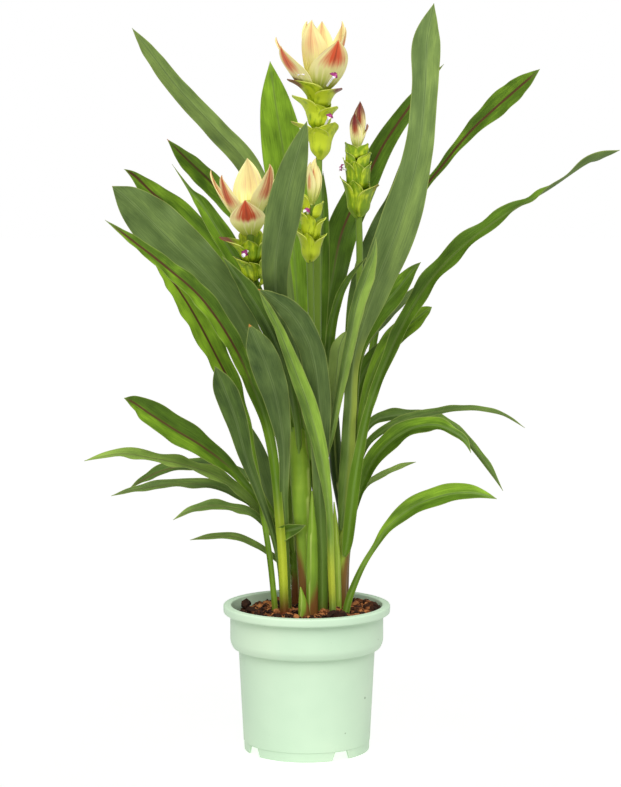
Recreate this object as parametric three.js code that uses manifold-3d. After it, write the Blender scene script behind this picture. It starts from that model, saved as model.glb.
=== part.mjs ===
// Siam tulip in a 12 cm nursery pot. Millimetres, +Z up, the front of the plant looks along -Y.
// Leaves and flower heads are placed by where they are seen in the picture and how far back they lie.

import * as THREE from "three";
import Module from "manifold-3d";

const wasm = await Module();
wasm.setup();

const gap = 0.3;

const pot = {
  height: 105,
  rimRadius: 60,
  rimInnerRadius: 54.2,
  lipHeight: 6,
  lipRound: 1.2,
  collarRadius: 55,
  collarFootRadius: 53,
  collarHeight: 27,
  collarTaper: 4,
  shoulderDrop: 1.2,
  bodyTopRadius: 49,
  footTopRadius: 45.6,
  footRadius: 45,
  footHeight: 6.5,
  footSeam: 0.4,
  wall: 1.5,
  floorThickness: 2,
  segments: 32,
  colour: 0xcdefcd,
};

const notch = {
  firstAngle: 33,
  count: 4,
  footWidth: 15,
  topWidth: 10,
  height: 6.2,
  depth: 12,
  startInside: 7,
  below: 1,
};

const soil = {
  topHeight: 98.6,
  mound: 1.5,
  leanRight: 0.06,
  leanBack: 0.02,
  lumpHeight: 0.9,
  lumpsAcross: 0.31,
  lumpsBack: 0.27,
  lumpSlant: 0.11,
  rings: 2,
  segments: 21,
  colour: 0x3a2618,
};

const eye = {
  distance: 1650,
  height: 417,
  right: 2.7,
  pitch: 5.55,
  focalPixels: 2328,
  centreX: 310.5,
  centreY: 393.5,
};

const habit = {
  closedY: 560,
  openY: 180,
  opening: 1.3,
};

const blade = {
  edgeThickness: 0.6,
  ribThickness: 1,
  stalkRib: 6,
  stalkWidth: 4,
  rowLength: 22,
  fewestRows: 7,
  mostRows: 9,
  wavesPerLength: 0.03,
  waveShift: 1.3,
  fullWaveWidth: 10,
  narrow: 16,
  columns: 4,
  narrowColumns: 2,
};

const stemShape = {
  sides: 8,
  stalkSides: 6,
  tipWidth: 0.8,
};

const colours = {
  leafUnder: 0x6f8a55,
  leafUpper: 0x5d8c2a,
  leafBright: 0x8fae2c,
  stem: 0x7a6a3c,
  bract: 0x9fbf2a,
  coma: 0xebe2b0,
};

// Each route runs from the stem to the tip. A point is where it is seen (right, down), how far
// back it lies and how wide the leaf is there. Roll turns the upper side away from the viewer.
const leaves = {
  leaf_l01: {
    on: "stem_main", colour: "leafUnder", roll: [180, 182, 195], fold: 20, wave: 1.5,
    route: [[298, 456, 0, 4], [297, 420, 4, 5], [294, 350, 10, 7], [280, 250, 12, 12], [252, 172, 6, 17],
      [215, 128, 0, 16], [178, 88, -6, 14], [150, 52, -12, 10], [132, 28, -16, 0]],
  },
  leaf_l02: {
    on: "stem_main", colour: "leafUpper", roll: [0, -15, -20], fold: 18, wave: 1,
    route: [[301, 452, 1, 4], [299, 415, 8, 4.5], [287, 340, 18, 6.5], [268, 270, 22, 9.5], [245, 222, 25, 14],
      [215, 186, 24, 17], [188, 160, 20, 14], [167, 139, 16, 0]],
  },
  leaf_l03: {
    on: "stem_main", colour: "leafUpper", roll: [0, 15, 10], fold: 28, wave: 1,
    route: [[297, 452, -3, 4], [294, 415, -2, 4.5], [285, 370, -2, 6.5], [268, 320, -5, 10], [245, 275, -6, 14],
      [222, 237, -6, 16], [202, 205, -6, 11], [190, 190, -6, 3.6], [172, 164, -6, 0]],
  },
  leaf_l04: {
    on: "stem_main", colour: "leafUpper", roll: [0, 0, -5], fold: 15, wave: 2,
    route: [[297, 446, 1, 4], [289, 405, 9, 5], [264, 350, 14, 9], [238, 305, 12, 14], [212, 255, 10, 21],
      [182, 218, 8, 22], [155, 195, 6, 17], [135, 176, 4, 6.5], [124, 169, 2, 0]],
  },
  leaf_l05: {
    on: "stem_main", colour: "leafUnder", roll: [180, 180, 175], fold: 12, wave: 2,
    route: [[298, 442, -4, 5.5], [275, 395, -8, 9], [256, 350, -12, 14], [236, 312, -14, 23],
      [208, 277, -14, 31], [178, 248, -14, 36], [150, 220, -14, 33], [128, 199, -15, 20],
      [112, 186, -16, 0]],
  },
  leaf_l06: {
    on: "soil", colour: "leafUpper", roll: [0, 20, 30], fold: 25, wave: 1.5,
    route: [[285, 624, -8, 6.5], [281, 540, -9, 7], [270, 440, -14, 8], [249, 378, -24, 12.5],
      [228, 336, -31, 14], [200, 297, -36, 15.5], [166, 267, -41, 12], [134, 242, -45, 8],
      [105, 220, -48, 0]],
  },
  leaf_l07: {
    on: "soil", colour: "leafBright", roll: [0, 30, 35], fold: 18, wave: 1.5,
    route: [[276, 620, 6, 4.5], [270.5, 565, 4, 4.5], [262, 510, 0, 4.5], [250, 445, -6, 6.5],
      [235, 395, -12, 13], [214, 352, -16, 19], [197, 320, -20, 22], [180, 292, -24, 20],
      [164, 271, -28, 12], [150, 255, -32, 0]],
  },
  leaf_l08: {
    on: "soil", colour: "leafUnder", roll: [180, 180, 175], fold: 15, wave: 1,
    route: [[283, 616, 8, 4.5], [280.5, 570, 5, 4.5], [272, 530, 0, 5], [260, 495, -12, 6.5],
      [247, 460, -22, 10], [236, 420, -30, 16], [224, 388, -36, 16], [215, 366, -40, 0]],
  },
  leaf_l09: {
    on: "stem_back_left", colour: "leafUnder", roll: [180, 180, 180], fold: 12, wave: 1,
    route: [[291.5, 562, 26, 4.5], [275, 520, 32, 11], [263, 482, 34, 19], [252, 447, 34, 16],
      [243, 415, 33, 0]],
  },
  leaf_l10: {
    on: "stem_back_left", colour: "leafUpper", roll: [0, 25, 35], fold: 16, wave: 1.5,
    route: [[291, 556, 23, 3.6], [262, 505, 12, 5], [245, 484, 6, 6], [228, 466, -2, 10],
      [203, 447, -12, 17], [175, 430, -22, 21], [150, 414, -30, 19], [134, 403, -35, 11],
      [124, 398, -38, 0]],
  },
  leaf_l11: {
    on: "stem_back_left", colour: "leafUpper", roll: [30, 55, 55], fold: 18, wave: 1.5,
    route: [[289.5, 546, 24, 4.5], [262, 515, 16, 6.5], [240, 492, 9, 9.5], [212, 474, 1, 12],
      [180, 464, -10, 12], [150, 458, -20, 11], [120, 454, -30, 10], [84, 461, -42, 0]],
  },
  leaf_l12: {
    on: "stem_back_left", colour: "leafUpper", roll: [30, 55, 50], fold: 16, wave: 1,
    route: [[290, 540, 25.5, 3.6], [268, 508, 24, 5], [250, 480, 24, 7], [225, 467, 28, 11],
      [195, 465, 33, 13], [165, 470, 38, 12], [145, 479, 41, 8], [130, 488, 43, 0]],
  },
  leaf_l13: {
    on: "stem_back_left", colour: "leafUpper", roll: [30, 58, 55], fold: 16, wave: 1,
    route: [[290, 552, 25, 3.6], [265, 522, 21, 6], [245, 500, 17, 8], [220, 488, 14, 10],
      [190, 484, 11, 11], [160, 486, 8, 10], [135, 490, 5, 7], [111, 496, 1, 0]],
  },
  leaf_l14: {
    on: "stem_back_left", colour: "leafUpper", roll: [20, 50, 50], fold: 16, wave: 1,
    route: [[292, 564, 23, 3.6], [270, 532, 13, 5], [252, 514, 5, 6.5], [232, 508, -4, 9],
      [210, 506, -14, 9.5], [190, 511, -22, 6.5], [173, 520, -29, 0]],
  },
  leaf_l15: {
    on: "stem_back_left", colour: "leafUpper", roll: [20, 50, 50], fold: 16, wave: 0.5,
    route: [[293, 575, 23, 3.6], [272, 556, 19, 4.5], [255, 545, 14, 6], [235, 537, 8, 7], [212, 537, 0, 6],
      [190, 540, -8, 0]],
  },
  leaf_l16: {
    on: "stem_main", colour: "leafUnder", roll: [180, 165, 160], fold: 20, wave: 1,
    route: [[299, 462, -6, 4], [298, 430, -12, 5], [291, 390, -24, 7], [279, 350, -34, 11], [264, 318, -40, 15],
      [248, 292, -42, 13], [234, 272, -42, 6.5], [222, 256, -42, 0]],
  },
  leaf_c01: {
    on: "stem_main", colour: "leafUnder", roll: [180, 180, 180], fold: 14, wave: 1.5,
    route: [[299, 430, -6, 8], [289, 375, -16, 9], [280, 320, -27, 13], [275, 270, -40, 19],
      [283, 215, -50, 24], [293, 170, -54, 19], [302, 138, -56, 9], [307, 121, -57, 0]],
  },
  leaf_c02: {
    on: "stem_main", colour: "leafBright", roll: [0, 0, 0], fold: 14, wave: 1,
    route: [[301, 462, 1, 4], [302, 425, 9, 6], [300, 350, 24, 11], [296, 280, 31, 19], [290, 210, 34, 28],
      [283, 150, 35, 32], [275, 100, 35, 22], [270, 61, 35, 0]],
  },
  leaf_c03: {
    on: "soil", colour: "leafUnder", roll: [180, 175, 165], fold: 14, wave: 1.5,
    route: [[322, 622, -9, 8.5], [322, 565, -9, 8.5], [320, 505, -12, 9.5], [320, 455, -18, 13],
      [319, 400, -27, 17], [311, 350, -36, 18], [295, 318, -42, 17], [276, 300, -47, 10],
      [258, 289, -50, 0]],
  },
  leaf_c04: {
    on: "soil", colour: "leafUnder", roll: [180, 185, 185], fold: 16, wave: 2,
    route: [[289, 618, 2, 5], [286.5, 560, -4, 5], [284, 500, -12, 6.5], [284, 450, -22, 9],
      [278, 405, -32, 18], [268, 370, -40, 22], [258, 345, -44, 17], [249, 324, -46, 0]],
  },
  leaf_c05: {
    on: "soil", colour: "leafBright", roll: [180, 175, 175], fold: 24, wave: 1,
    route: [[333, 618, -16, 5.5], [331, 565, -17, 5.5], [329, 510, -20, 6], [321, 455, -27, 11],
      [309, 408, -33, 13], [295, 370, -38, 11], [280, 332, -44, 7], [268, 308, -50, 5], [259, 291, -54, 0]],
  },
  leaf_c07: {
    on: "stem_middle", colour: "leafUnder", roll: [180, 180, 180], fold: 16, wave: 1,
    route: [[312, 460, -6, 4.5], [308, 415, -15, 9], [302, 383, -20, 13], [297, 355, -23, 12],
      [289, 332, -25, 8.5], [279, 311, -26, 0]],
  },
  leaf_c08: {
    on: "leaf_c04", colour: "leafUpper", roll: [10, 0, 0], fold: 12, wave: 0,
    route: [[285, 531, -8.5, 12], [290, 530, -11, 10], [298, 528, -14, 6], [306, 525, -16, 0]],
  },
  leaf_c10: {
    on: "stem_middle", colour: "leafUpper", roll: [0, 10, 10], fold: 20, wave: 1,
    route: [[317, 476, 2, 4.5], [326, 410, -3, 6], [328, 360, -8, 7], [332, 325, -13, 7],
      [339, 297, -16, 6], [350, 276, -18, 4], [370, 254, -22, 0]],
  },
  leaf_c11: {
    on: "stem_middle", colour: "leafUpper", roll: [0, 0, 0], fold: 14, wave: 1,
    route: [[315, 484, 6, 4], [316, 440, 9, 5], [319, 350, 12, 9], [321, 290, 12, 12], [322, 240, 12, 11],
      [323, 200, 12, 7], [323, 171, 12, 0]],
  },
  leaf_r01: {
    on: "stem_right", colour: "leafUnder", roll: [180, 180, 185], fold: 12, wave: 1.5,
    route: [[341, 530, -1.5, 3], [344, 497, -6, 9], [347.5, 455, -9, 10.5], [350, 410, -16, 9.5],
      [355, 352, -27, 10], [376, 285, -36, 23], [400, 222, -40, 27], [418, 155, -40, 20],
      [425, 90, -37, 18], [427, 40, -34, 19], [434, 3, -32, 0]],
  },
  leaf_r02: {
    on: "stem_right", colour: "leafUpper", roll: [0, -15, -20], fold: 18, wave: 1.5,
    route: [[352, 478, 8, 4.5], [364, 400, 14, 5], [378, 320, 18, 5.5], [395, 250, 20, 5],
      [415, 202, 18, 5.5], [442, 166, 14, 6], [470, 132, 9, 10], [500, 104, 4, 17], [523, 84, 0, 13],
      [540, 69, -3, 0]],
  },
  leaf_r03: {
    on: "stem_right", colour: "leafUpper", roll: [0, -10, -25, -60, -150], fold: 22, wave: 2,
    route: [[344.5, 556, -1.5, 3], [348, 538, -4.5, 8.5], [355, 480, -12.5, 9.5], [365, 425, -14, 7], [377, 385, -14.5, 7.5],
      [400, 331, -17, 11], [430, 281, -20, 14], [467, 243, -22, 15], [510, 212, -25, 12],
      [548, 190, -28, 8], [590, 162, -30, 11], [620, 150, -31, 0]],
  },
  leaf_r04: {
    on: "stem_middle", colour: "leafUpper", roll: [0, 0, -10], fold: 15, wave: 1.5,
    route: [[316, 492, 6, 4], [318, 450, 11, 5], [322, 340, 19, 10], [332, 280, 22, 20], [342, 232, 24, 24],
      [361, 190, 24, 21], [383, 146, 22, 16], [405, 113, 20, 12.5], [427, 83, 19, 6], [444, 64, 18, 0]],
  },
  leaf_r05: {
    on: "stem_right", colour: "leafUnder", roll: [180, 180, 180], fold: 12, wave: 3,
    route: [[350, 455, 8, 5], [349, 390, 8, 7], [355, 315, 4, 13], [368, 272, 2, 21], [384, 235, 0, 24],
      [402, 200, -2, 22], [414, 160, -4, 17], [421, 125, -5, 9], [428, 108, -6, 0]],
  },
  leaf_r06: {
    on: "stem_right", colour: "leafUpper", roll: [0, -15, -20], fold: 14, wave: 1,
    route: [[354, 452, -4, 4.5], [355, 390, -12, 5], [360, 347, -14, 9], [376, 315, -14, 17],
      [397, 290, -14, 16], [412, 271, -14, 7], [421, 262, -14, 0]],
  },
  leaf_r07: {
    on: "stem_right", colour: "leafUnder", roll: [180, 200, 200], fold: 18, wave: 1,
    route: [[354, 456, 2, 4.5], [356, 390, 0, 5], [363, 350, -2, 5], [384, 322, -2, 6],
      [403, 301, -2, 7], [419, 284, -2, 0]],
  },
  leaf_r08: {
    on: "stem_right", colour: "leafUpper", roll: [0, -15, -20], fold: 18, wave: 1,
    route: [[354, 462, 0, 4.5], [362, 415, -1, 6.5], [370, 382, -3, 8.5], [383, 352, -5, 12],
      [398, 334, -6, 15], [415, 320, -8, 14], [426, 311, -9, 8], [432, 307, -9, 0]],
  },
  leaf_r09: {
    on: "stem_right", colour: "leafUpper", roll: [0, -10, -10], fold: 16, wave: 1,
    route: [[351, 460, 6, 4.5], [354, 405, 8, 9.5], [363, 375, 8, 14], [374, 357, 7, 12],
      [384, 345, 6, 7], [392, 339, 6, 0]],
  },
  leaf_r10: {
    on: "stem_middle", colour: "leafBright", roll: [180, 160, 160], fold: 24, wave: 0.5,
    route: [[315, 490, 0, 4.5], [330, 440, -10, 5], [338, 400, -21, 6], [344, 370, -31, 8],
      [350, 340, -40, 9], [357, 305, -46, 11], [366, 278, -48, 11], [373.5, 255, -50, 5],
      [376, 237, -50, 0]],
  },
  leaf_r11: {
    on: "stem_middle", colour: "leafBright", roll: [180, 170, 170], fold: 18, wave: 1,
    route: [[316, 480, 0, 4.5], [331, 420, -8, 6], [334, 395, -16, 10], [337, 370, -22, 14],
      [339, 350, -26, 13], [343, 338, -28, 6.5], [346, 331, -29, 0]],
  },
  leaf_r12: {
    on: "stem_back_right", colour: "leafUpper", roll: [-20, -55, -60], fold: 18, wave: 0.5,
    route: [[353, 505, 17, 3.6], [364, 452, 18, 4.5], [385, 430, 16, 7], [412, 418, 13, 9],
      [445, 411, 9, 8], [475, 409, 4, 6.5], [503, 415, -2, 4.5], [525, 428, -8, 0]],
  },
  leaf_r13: {
    on: "stem_back_right", colour: "leafUpper", roll: [-20, -50, -40], fold: 18, wave: 1,
    route: [[353.5, 500, 18, 3.6], [361, 445, 29, 4.5], [373, 423, 33, 8], [393, 416, 36, 11],
      [420, 417, 38, 12], [444, 422, 40, 11], [466, 440, 41, 8], [486, 464, 40, 7], [503, 491, 37, 0]],
  },
  leaf_r14: {
    on: "stem_back_right", colour: "leafUpper", roll: [-10, -35, -30], fold: 18, wave: 1.5,
    route: [[350, 526, 17, 4], [361, 490, 12, 6], [372, 463, 1, 12], [390, 442, -9, 15],
      [413, 428, -18, 14], [436, 425, -26, 11], [455, 433, -33, 7], [465, 441, -37, 5], [471, 453, -41, 0]],
  },
  leaf_r15: {
    on: "stem_back_right", colour: "leafUpper", roll: [-20, -50, -50], fold: 16, wave: 0.5,
    route: [[351, 516, 18, 3], [366, 486, 31, 4.5], [385, 474, 38, 6], [402, 466, 44, 5], [416, 462, 49, 0]],
  },
  leaf_r16: {
    on: "soil", colour: "leafUpper", roll: [0, -25, -35], fold: 20, wave: 1,
    route: [[343.5, 622, -14, 5.5], [350, 596, -15, 5.5], [362.5, 567, -18, 4.5], [376, 545, -22, 4.5],
      [391, 524, -28, 9], [415, 506, -36, 14], [445, 495, -45, 15], [473, 493, -52, 11], [497, 499, -57, 0]],
  },
};

// Stems: a point is where it is seen, how far back it lies and the stem's width there.
const stems = {
  stem_main: { on: "soil", route: [[307, 626, -4, 11], [306, 575, -4, 12], [302.5, 520, -4, 14],
    [300, 470, -3, 15.5], [297, 425, -2, 12]] },
  stem_middle: { on: "soil", route: [[326, 620, 8, 8], [325, 570, 7, 8], [320, 510, 5, 8], [313, 460, 4, 8],
    [312, 435, 4, 6]] },
  stem_right: { on: "soil", route: [[339, 622, 4, 8.5], [342, 568, 4, 9], [346, 520, 4, 12.6],
    [349.5, 478, 3, 15.5], [354, 435, 2, 11]] },
  stem_back_left: { on: "soil", route: [[297, 612, 24, 7], [294.5, 570, 24, 7], [291, 525, 24, 7],
    [289, 470, 21, 7], [287, 425, 18, 5]] },
  stem_back_middle: { on: "soil", route: [[343, 604, 30, 8], [344, 560, 29, 8], [343, 515, 28, 8],
    [336, 465, 25, 10], [333, 400, 20, 8]] },
  stem_back_right: { on: "soil", route: [[343, 610, 18, 7], [345, 560, 18, 7], [350, 520, 17, 7],
    [355, 490, 17, 5]] },
  sheath_front: { on: "soil", route: [[312, 626, -17, 8.5], [312, 570, -17, 9], [312, 530, -16, 7],
    [312, 491, -13, 0.8]] },
  sheath_right: { on: "soil", route: [[338, 622, -4.5, 6], [337, 570, -4.5, 5.5], [336, 535, -4, 4.5],
    [334, 502, -4, 0.8]] },
  sprout: { on: "soil", route: [[305, 626, -20, 9.5], [303.5, 607, -20, 8], [300.5, 587, -19, 0.8]] },
};

// Flower heads: the stalk's route and the core above it, then the bracts. A bract is its foot's
// place along the head (0 at the lowest bract, 1 at the top), where its tip is seen, how far the
// tip lies behind the stalk, and how far round the stalk a green one wraps to each side, in
// degrees, or how wide a cream one is.
const heads = {
  flower_top: {
    on: "stem_middle",
    stalk: [[315, 478, 4, 3], [318, 400, 3, 4], [317, 320, 2, 6], [317, 240, 3, 6], [319, 168, 5, 4.6],
      [319, 103, 8, 5]],
    core: [[319, 105, 8, 4], [320, 70, 8, 4]],
    footY: 165, topY: 78, bow: 4, body: 8,
    green: [[0.06, 335, 122, -8, 75], [0.16, 291, 121, -2, 60], [0.1, 316, 127, -12, 60],
      [0.14, 322, 118, 12, 60], [0.4, 292, 95, -3, 70], [0.42, 337, 106, -5, 70], [0.4, 316, 104, -10, 70],
      [0.42, 324, 98, 11, 60], [0.64, 287, 79, -4, 95], [0.64, 342, 88, -5, 95], [0.66, 320, 80, 13, 60]],
    coma: [[0.86, 312, 20, -9, 28], [0.82, 338, 40, -24, 32], [0.76, 281, 46, -20, 24],
      [0.8, 276, 37, 7, 22], [0.88, 342, 21, 6, 24], [0.8, 345, 27, -4, 20], [0.9, 322, 21, 14, 22],
      [0.88, 307, 21, 8, 20]],
    floret: [0.78, 334, 76, -27],
  },
  flower_left: {
    on: "stem_main",
    stalk: [[297, 440, -3, 3], [287, 385, -5, 3], [273, 340, -14, 3], [260, 300, -22, 3],
      [254, 280, -24, 3.6], [250, 232, -25, 5]],
    core: [[250, 234, -25, 4], [247, 200, -25, 4]],
    footY: 290, topY: 208, bow: 4, body: 8,
    green: [[0, 233, 271, -4, 65], [0.04, 264, 268, -2, 60], [0.1, 233, 256, -6, 75],
      [0.12, 268, 250, -2, 65], [0.12, 250, 262, -13, 50], [0.16, 252, 246, 11, 60],
      [0.3, 219, 237, -3, 70], [0.32, 270, 233, 0, 70], [0.34, 248, 240, -11, 50], [0.36, 250, 226, 12, 60]],
    coma: [[0.66, 245, 200, -22, 27], [0.82, 247, 158, 6, 24], [0.76, 269.5, 164, -14, 24],
      [0.72, 222, 175, -12, 20], [0.72, 211, 170, 2, 14], [0.82, 283, 162, 8, 16]],
    floret: [0.5, 245, 253, -15],
  },
  flower_middle: {
    on: "stem_middle",
    stalk: [[313, 466, 2, 2.8], [313, 400, -4, 3.2], [311.5, 330, -9, 4.2], [310, 262, -12, 5],
      [310, 240, -13, 5], [312, 205, -14, 4]],
    core: [[312, 207, -14, 2.8], [315, 185, -14, 3]],
    footY: 262, topY: 196, bow: 1.5, body: 6.5,
    green: [[0, 291, 225, -2, 80], [0.02, 327, 233, -3, 75], [0.04, 307, 233, -9, 50],
      [0.06, 311, 222, 9, 60], [0.36, 292, 205, -2, 75], [0.34, 326, 217, -1, 70], [0.38, 309, 214, -8, 50],
      [0.66, 299, 190, -1, 75], [0.66, 323, 201, -2, 75]],
    coma: [[0.86, 316, 158, -3, 12], [0.84, 311, 162, -5, 10], [0.88, 318, 166, 2, 10]],
    floret: [0.6, 307, 211, -7],
  },
  flower_right: {
    on: "stem_right",
    stalk: [[351, 470, -2, 3], [352, 400, -8, 3.4], [357, 330, -10, 4.2], [359.5, 270, -12, 4.8],
      [359, 222, -13, 4.6], [357, 158, -14, 4.5]],
    core: [[357, 160, -14, 3.6], [358, 130, -14, 3]],
    footY: 218, topY: 145, bow: 1, body: 8,
    green: [[0, 340, 176, -1, 70], [0.02, 378, 184, -6, 75], [0.02, 353, 180, -10, 50],
      [0.06, 361, 176, 9, 60], [0.34, 343, 157, -1, 75], [0.36, 371, 161, -1, 75],
      [0.36, 354, 161, -10, 55], [0.6, 370, 152, -3, 80], [0.62, 346, 150, -1, 75],
      [0.78, 346, 142, -2, 85], [0.8, 367, 143, -2, 85]],
    coma: [[0.94, 360, 101, -4, 11], [0.9, 355, 113, -5, 11], [0.92, 367, 124, 1, 9]],
    floret: [0.6, 342, 168, -4],
  },
};

// The shares run from a bract's foot to its tip: how far it has come out to the head's body, then
// on to its tip, how high its middle line is, and how much of its full wrap or width is left.
const bract = {
  thickness: 0.7,
  rows: 3,
  columns: 3,
  narrowColumns: 2,
  layer: 1.1,
  footRadius: 2.5,
  bend: 0.6,
  floretWidth: 5,
  green: {
    narrow: 62, body: [0, 0.85, 1, 1, 1], reach: [0, 0, 0.1, 0.45, 1],
    height: [0, 0.22, 0.5, 0.78, 1], full: [1, 1, 1, 0.8, 0],
  },
  coma: {
    narrow: 25, reach: [0, 0.3, 0.56, 0.8, 1], height: [0, 0.24, 0.5, 0.76, 1], full: [0.25, 0.72, 1, 0.62, 0],
  },
};

const roughness = { pot: 0.55, soil: 0.95, plant: 0.5 };

const { degToRad: radians, lerp, smoothstep, clamp } = THREE.MathUtils;
const forward = new THREE.Vector3(0, 1, 0);
const nearby = 0.01;

// The clump opens towards the front and the back as it rises.
function openBack(back, y) {
  return back * (1 + habit.opening * (1 - smoothstep(y, habit.openY, habit.closedY)));
}

// Turns a point seen in the picture, lying a given way back, into a place in the part.
function placeSeen(x, y, back) {
  const pitch = radians(eye.pitch);
  const across = (x - eye.centreX) / eye.focalPixels;
  const down = (y - eye.centreY) / eye.focalPixels;
  const reach = (back + eye.distance) / (Math.cos(pitch) - down * Math.sin(pitch));
  return new THREE.Vector3(
    eye.right + reach * across,
    back,
    eye.height - reach * (Math.sin(pitch) + down * Math.cos(pitch)),
  );
}

// A smooth curve through the rows of a list, read at any place from its first to its last row.
function curveThrough(rows, place) {
  const last = rows.length - 1;
  const segment = Math.min(Math.floor(place * last), last - 1);
  const along = place * last - segment;
  const row = (index) => rows[Math.max(0, Math.min(last, index))];
  return rows[0].map((_, column) => {
    const [before, from, to, after] = [-1, 0, 1, 2].map((step) => row(segment + step)[column]);
    const slopeFrom = (to - before) / 2;
    const slopeTo = (after - from) / 2;
    const rise = to - from;
    const square = along * along;
    return from + slopeFrom * along
      + (3 * rise - 2 * slopeFrom - slopeTo) * square
      + (slopeFrom + slopeTo - 2 * rise) * square * along;
  });
}

function makeSolid(points, triangles) {
  return new wasm.Manifold(new wasm.Mesh({
    numProp: 3,
    vertProperties: new Float32Array(points.flatMap((point) => [point.x, point.y, point.z])),
    triVerts: new Uint32Array(triangles.flat()),
  }));
}

function makeGeometry(solid) {
  const mesh = solid.getMesh();
  const geometry = new THREE.BufferGeometry();
  geometry.setAttribute("position", new THREE.BufferAttribute(mesh.vertProperties, 3));
  geometry.setIndex(new THREE.BufferAttribute(mesh.triVerts, 1));
  return geometry;
}

function largestBody(solid) {
  const bodies = solid.decompose();
  return bodies.reduce((best, body) => (body.volume() > best.volume() ? body : best));
}

// A closed thin sheet about a grid of places, which ends in a tip, a single place. It is as thick
// as its thickness function says for a row and a share from the middle line to the edge.
function makeSheet(grid, tip, thickness, grow) {
  const rows = grid.length;
  const columns = grid[0].length - 1;
  const place = (row, column) => (row < rows ? grid[Math.max(0, row)][clamp(column, 0, columns)] : tip);
  const points = [];
  const triangles = [];
  for (let row = 0; row < rows; row += 1) {
    [1, -1].forEach((face) => {
      for (let column = 0; column <= columns; column += 1) {
        const along = place(row + 1, column).clone().sub(place(row - 1, column)).normalize();
        const across = place(row, column + 1).clone().sub(place(row, column - 1)).normalize();
        const normal = along.clone().cross(across).normalize();
        const share = (2 * column) / columns - 1;
        points.push(place(row, column).clone()
          .addScaledVector(along, row === 0 ? -grow : 0)
          .addScaledVector(across, share * grow)
          .addScaledVector(normal, face * (thickness(row, Math.abs(share)) / 2 + grow)));
      }
    });
  }
  points.push(tip);
  const ring = 2 * (columns + 1);
  const last = rows * ring;
  const upper = (row, column) => (row < rows ? row * ring + column : last);
  const lower = (row, column) => (row < rows ? row * ring + columns + 1 + column : last);
  for (let column = 0; column < columns; column += 1) {
    triangles.push([upper(0, column), upper(0, column + 1), lower(0, column)]);
    triangles.push([upper(0, column + 1), lower(0, column + 1), lower(0, column)]);
  }
  for (let row = 0; row < rows; row += 1) {
    for (let column = 0; column < columns; column += 1) {
      triangles.push([upper(row, column), upper(row + 1, column), upper(row + 1, column + 1)]);
      triangles.push([upper(row, column), upper(row + 1, column + 1), upper(row, column + 1)]);
      triangles.push([lower(row, column), lower(row + 1, column + 1), lower(row + 1, column)]);
      triangles.push([lower(row, column), lower(row, column + 1), lower(row + 1, column + 1)]);
    }
    triangles.push([upper(row, 0), lower(row, 0), upper(row + 1, 0)]);
    triangles.push([lower(row, 0), lower(row + 1, 0), upper(row + 1, 0)]);
    triangles.push([upper(row, columns), upper(row + 1, columns), lower(row, columns)]);
    triangles.push([lower(row, columns), upper(row + 1, columns), lower(row + 1, columns)]);
  }
  return makeSolid(points, triangles.filter((triangle) => new Set(triangle).size === 3));
}

function placeRoute(route) {
  return route.map(([x, y, back, width]) => [...placeSeen(x, y, openBack(back, y)).toArray(), width]);
}

function makeLeaf(leaf, grow = 0) {
  const places = placeRoute(leaf.route);
  const widest = Math.max(...leaf.route.map((point) => point[3]));
  const rolls = leaf.roll.map((angle) => [angle]);
  let length = 0;
  for (let index = 1; index < places.length; index += 1) {
    length += Math.hypot(...[0, 1, 2].map((axis) => places[index][axis] - places[index - 1][axis]));
  }
  const rows = clamp(Math.round(length / blade.rowLength), blade.fewestRows, blade.mostRows);
  const waves = length * blade.wavesPerLength;
  const rise = Math.sin(radians(leaf.fold));
  const columns = widest < blade.narrow ? blade.narrowColumns : blade.columns;
  const halfWidths = [];
  const grid = Array.from({ length: rows }, (_, row) => {
    const place = row / rows;
    const [x, y, z, width] = curveThrough(places, place);
    const [ahead, behind] = [place + nearby, Math.max(0, place - nearby)]
      .map((near) => new THREE.Vector3(...curveThrough(places, near).slice(0, 3)));
    const tangent = ahead.sub(behind).normalize();
    const roll = radians(curveThrough(rolls, place)[0]);
    const facing = forward.clone().negate().applyAxisAngle(tangent, roll);
    facing.addScaledVector(tangent, -facing.dot(tangent)).normalize();
    const side = facing.clone().cross(tangent);
    const halfWidth = Math.max(width, blade.edgeThickness) / 2;
    const swell = leaf.wave * Math.sin(Math.PI * place) * Math.min(1, width / blade.fullWaveWidth);
    halfWidths.push(halfWidth);
    return Array.from({ length: columns + 1 }, (_, column) => {
      const across = (2 * column) / columns - 1;
      const turn = 2 * Math.PI * waves * place + (across > 0 ? blade.waveShift : 0);
      return new THREE.Vector3(x, y, z)
        .addScaledVector(side, across * halfWidth * Math.cos(radians(leaf.fold)))
        .addScaledVector(facing, Math.abs(across) * halfWidth * rise + across ** 2 * swell * Math.sin(turn));
    });
  });
  const thickness = (row, share) => {
    const rib = blade.ribThickness + blade.stalkRib / (blade.stalkWidth + 2 * halfWidths[row]);
    return lerp(rib - blade.edgeThickness / 2, blade.edgeThickness, share);
  };
  return makeSheet(grid, new THREE.Vector3(...places[places.length - 1].slice(0, 3)), thickness, grow);
}

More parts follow.
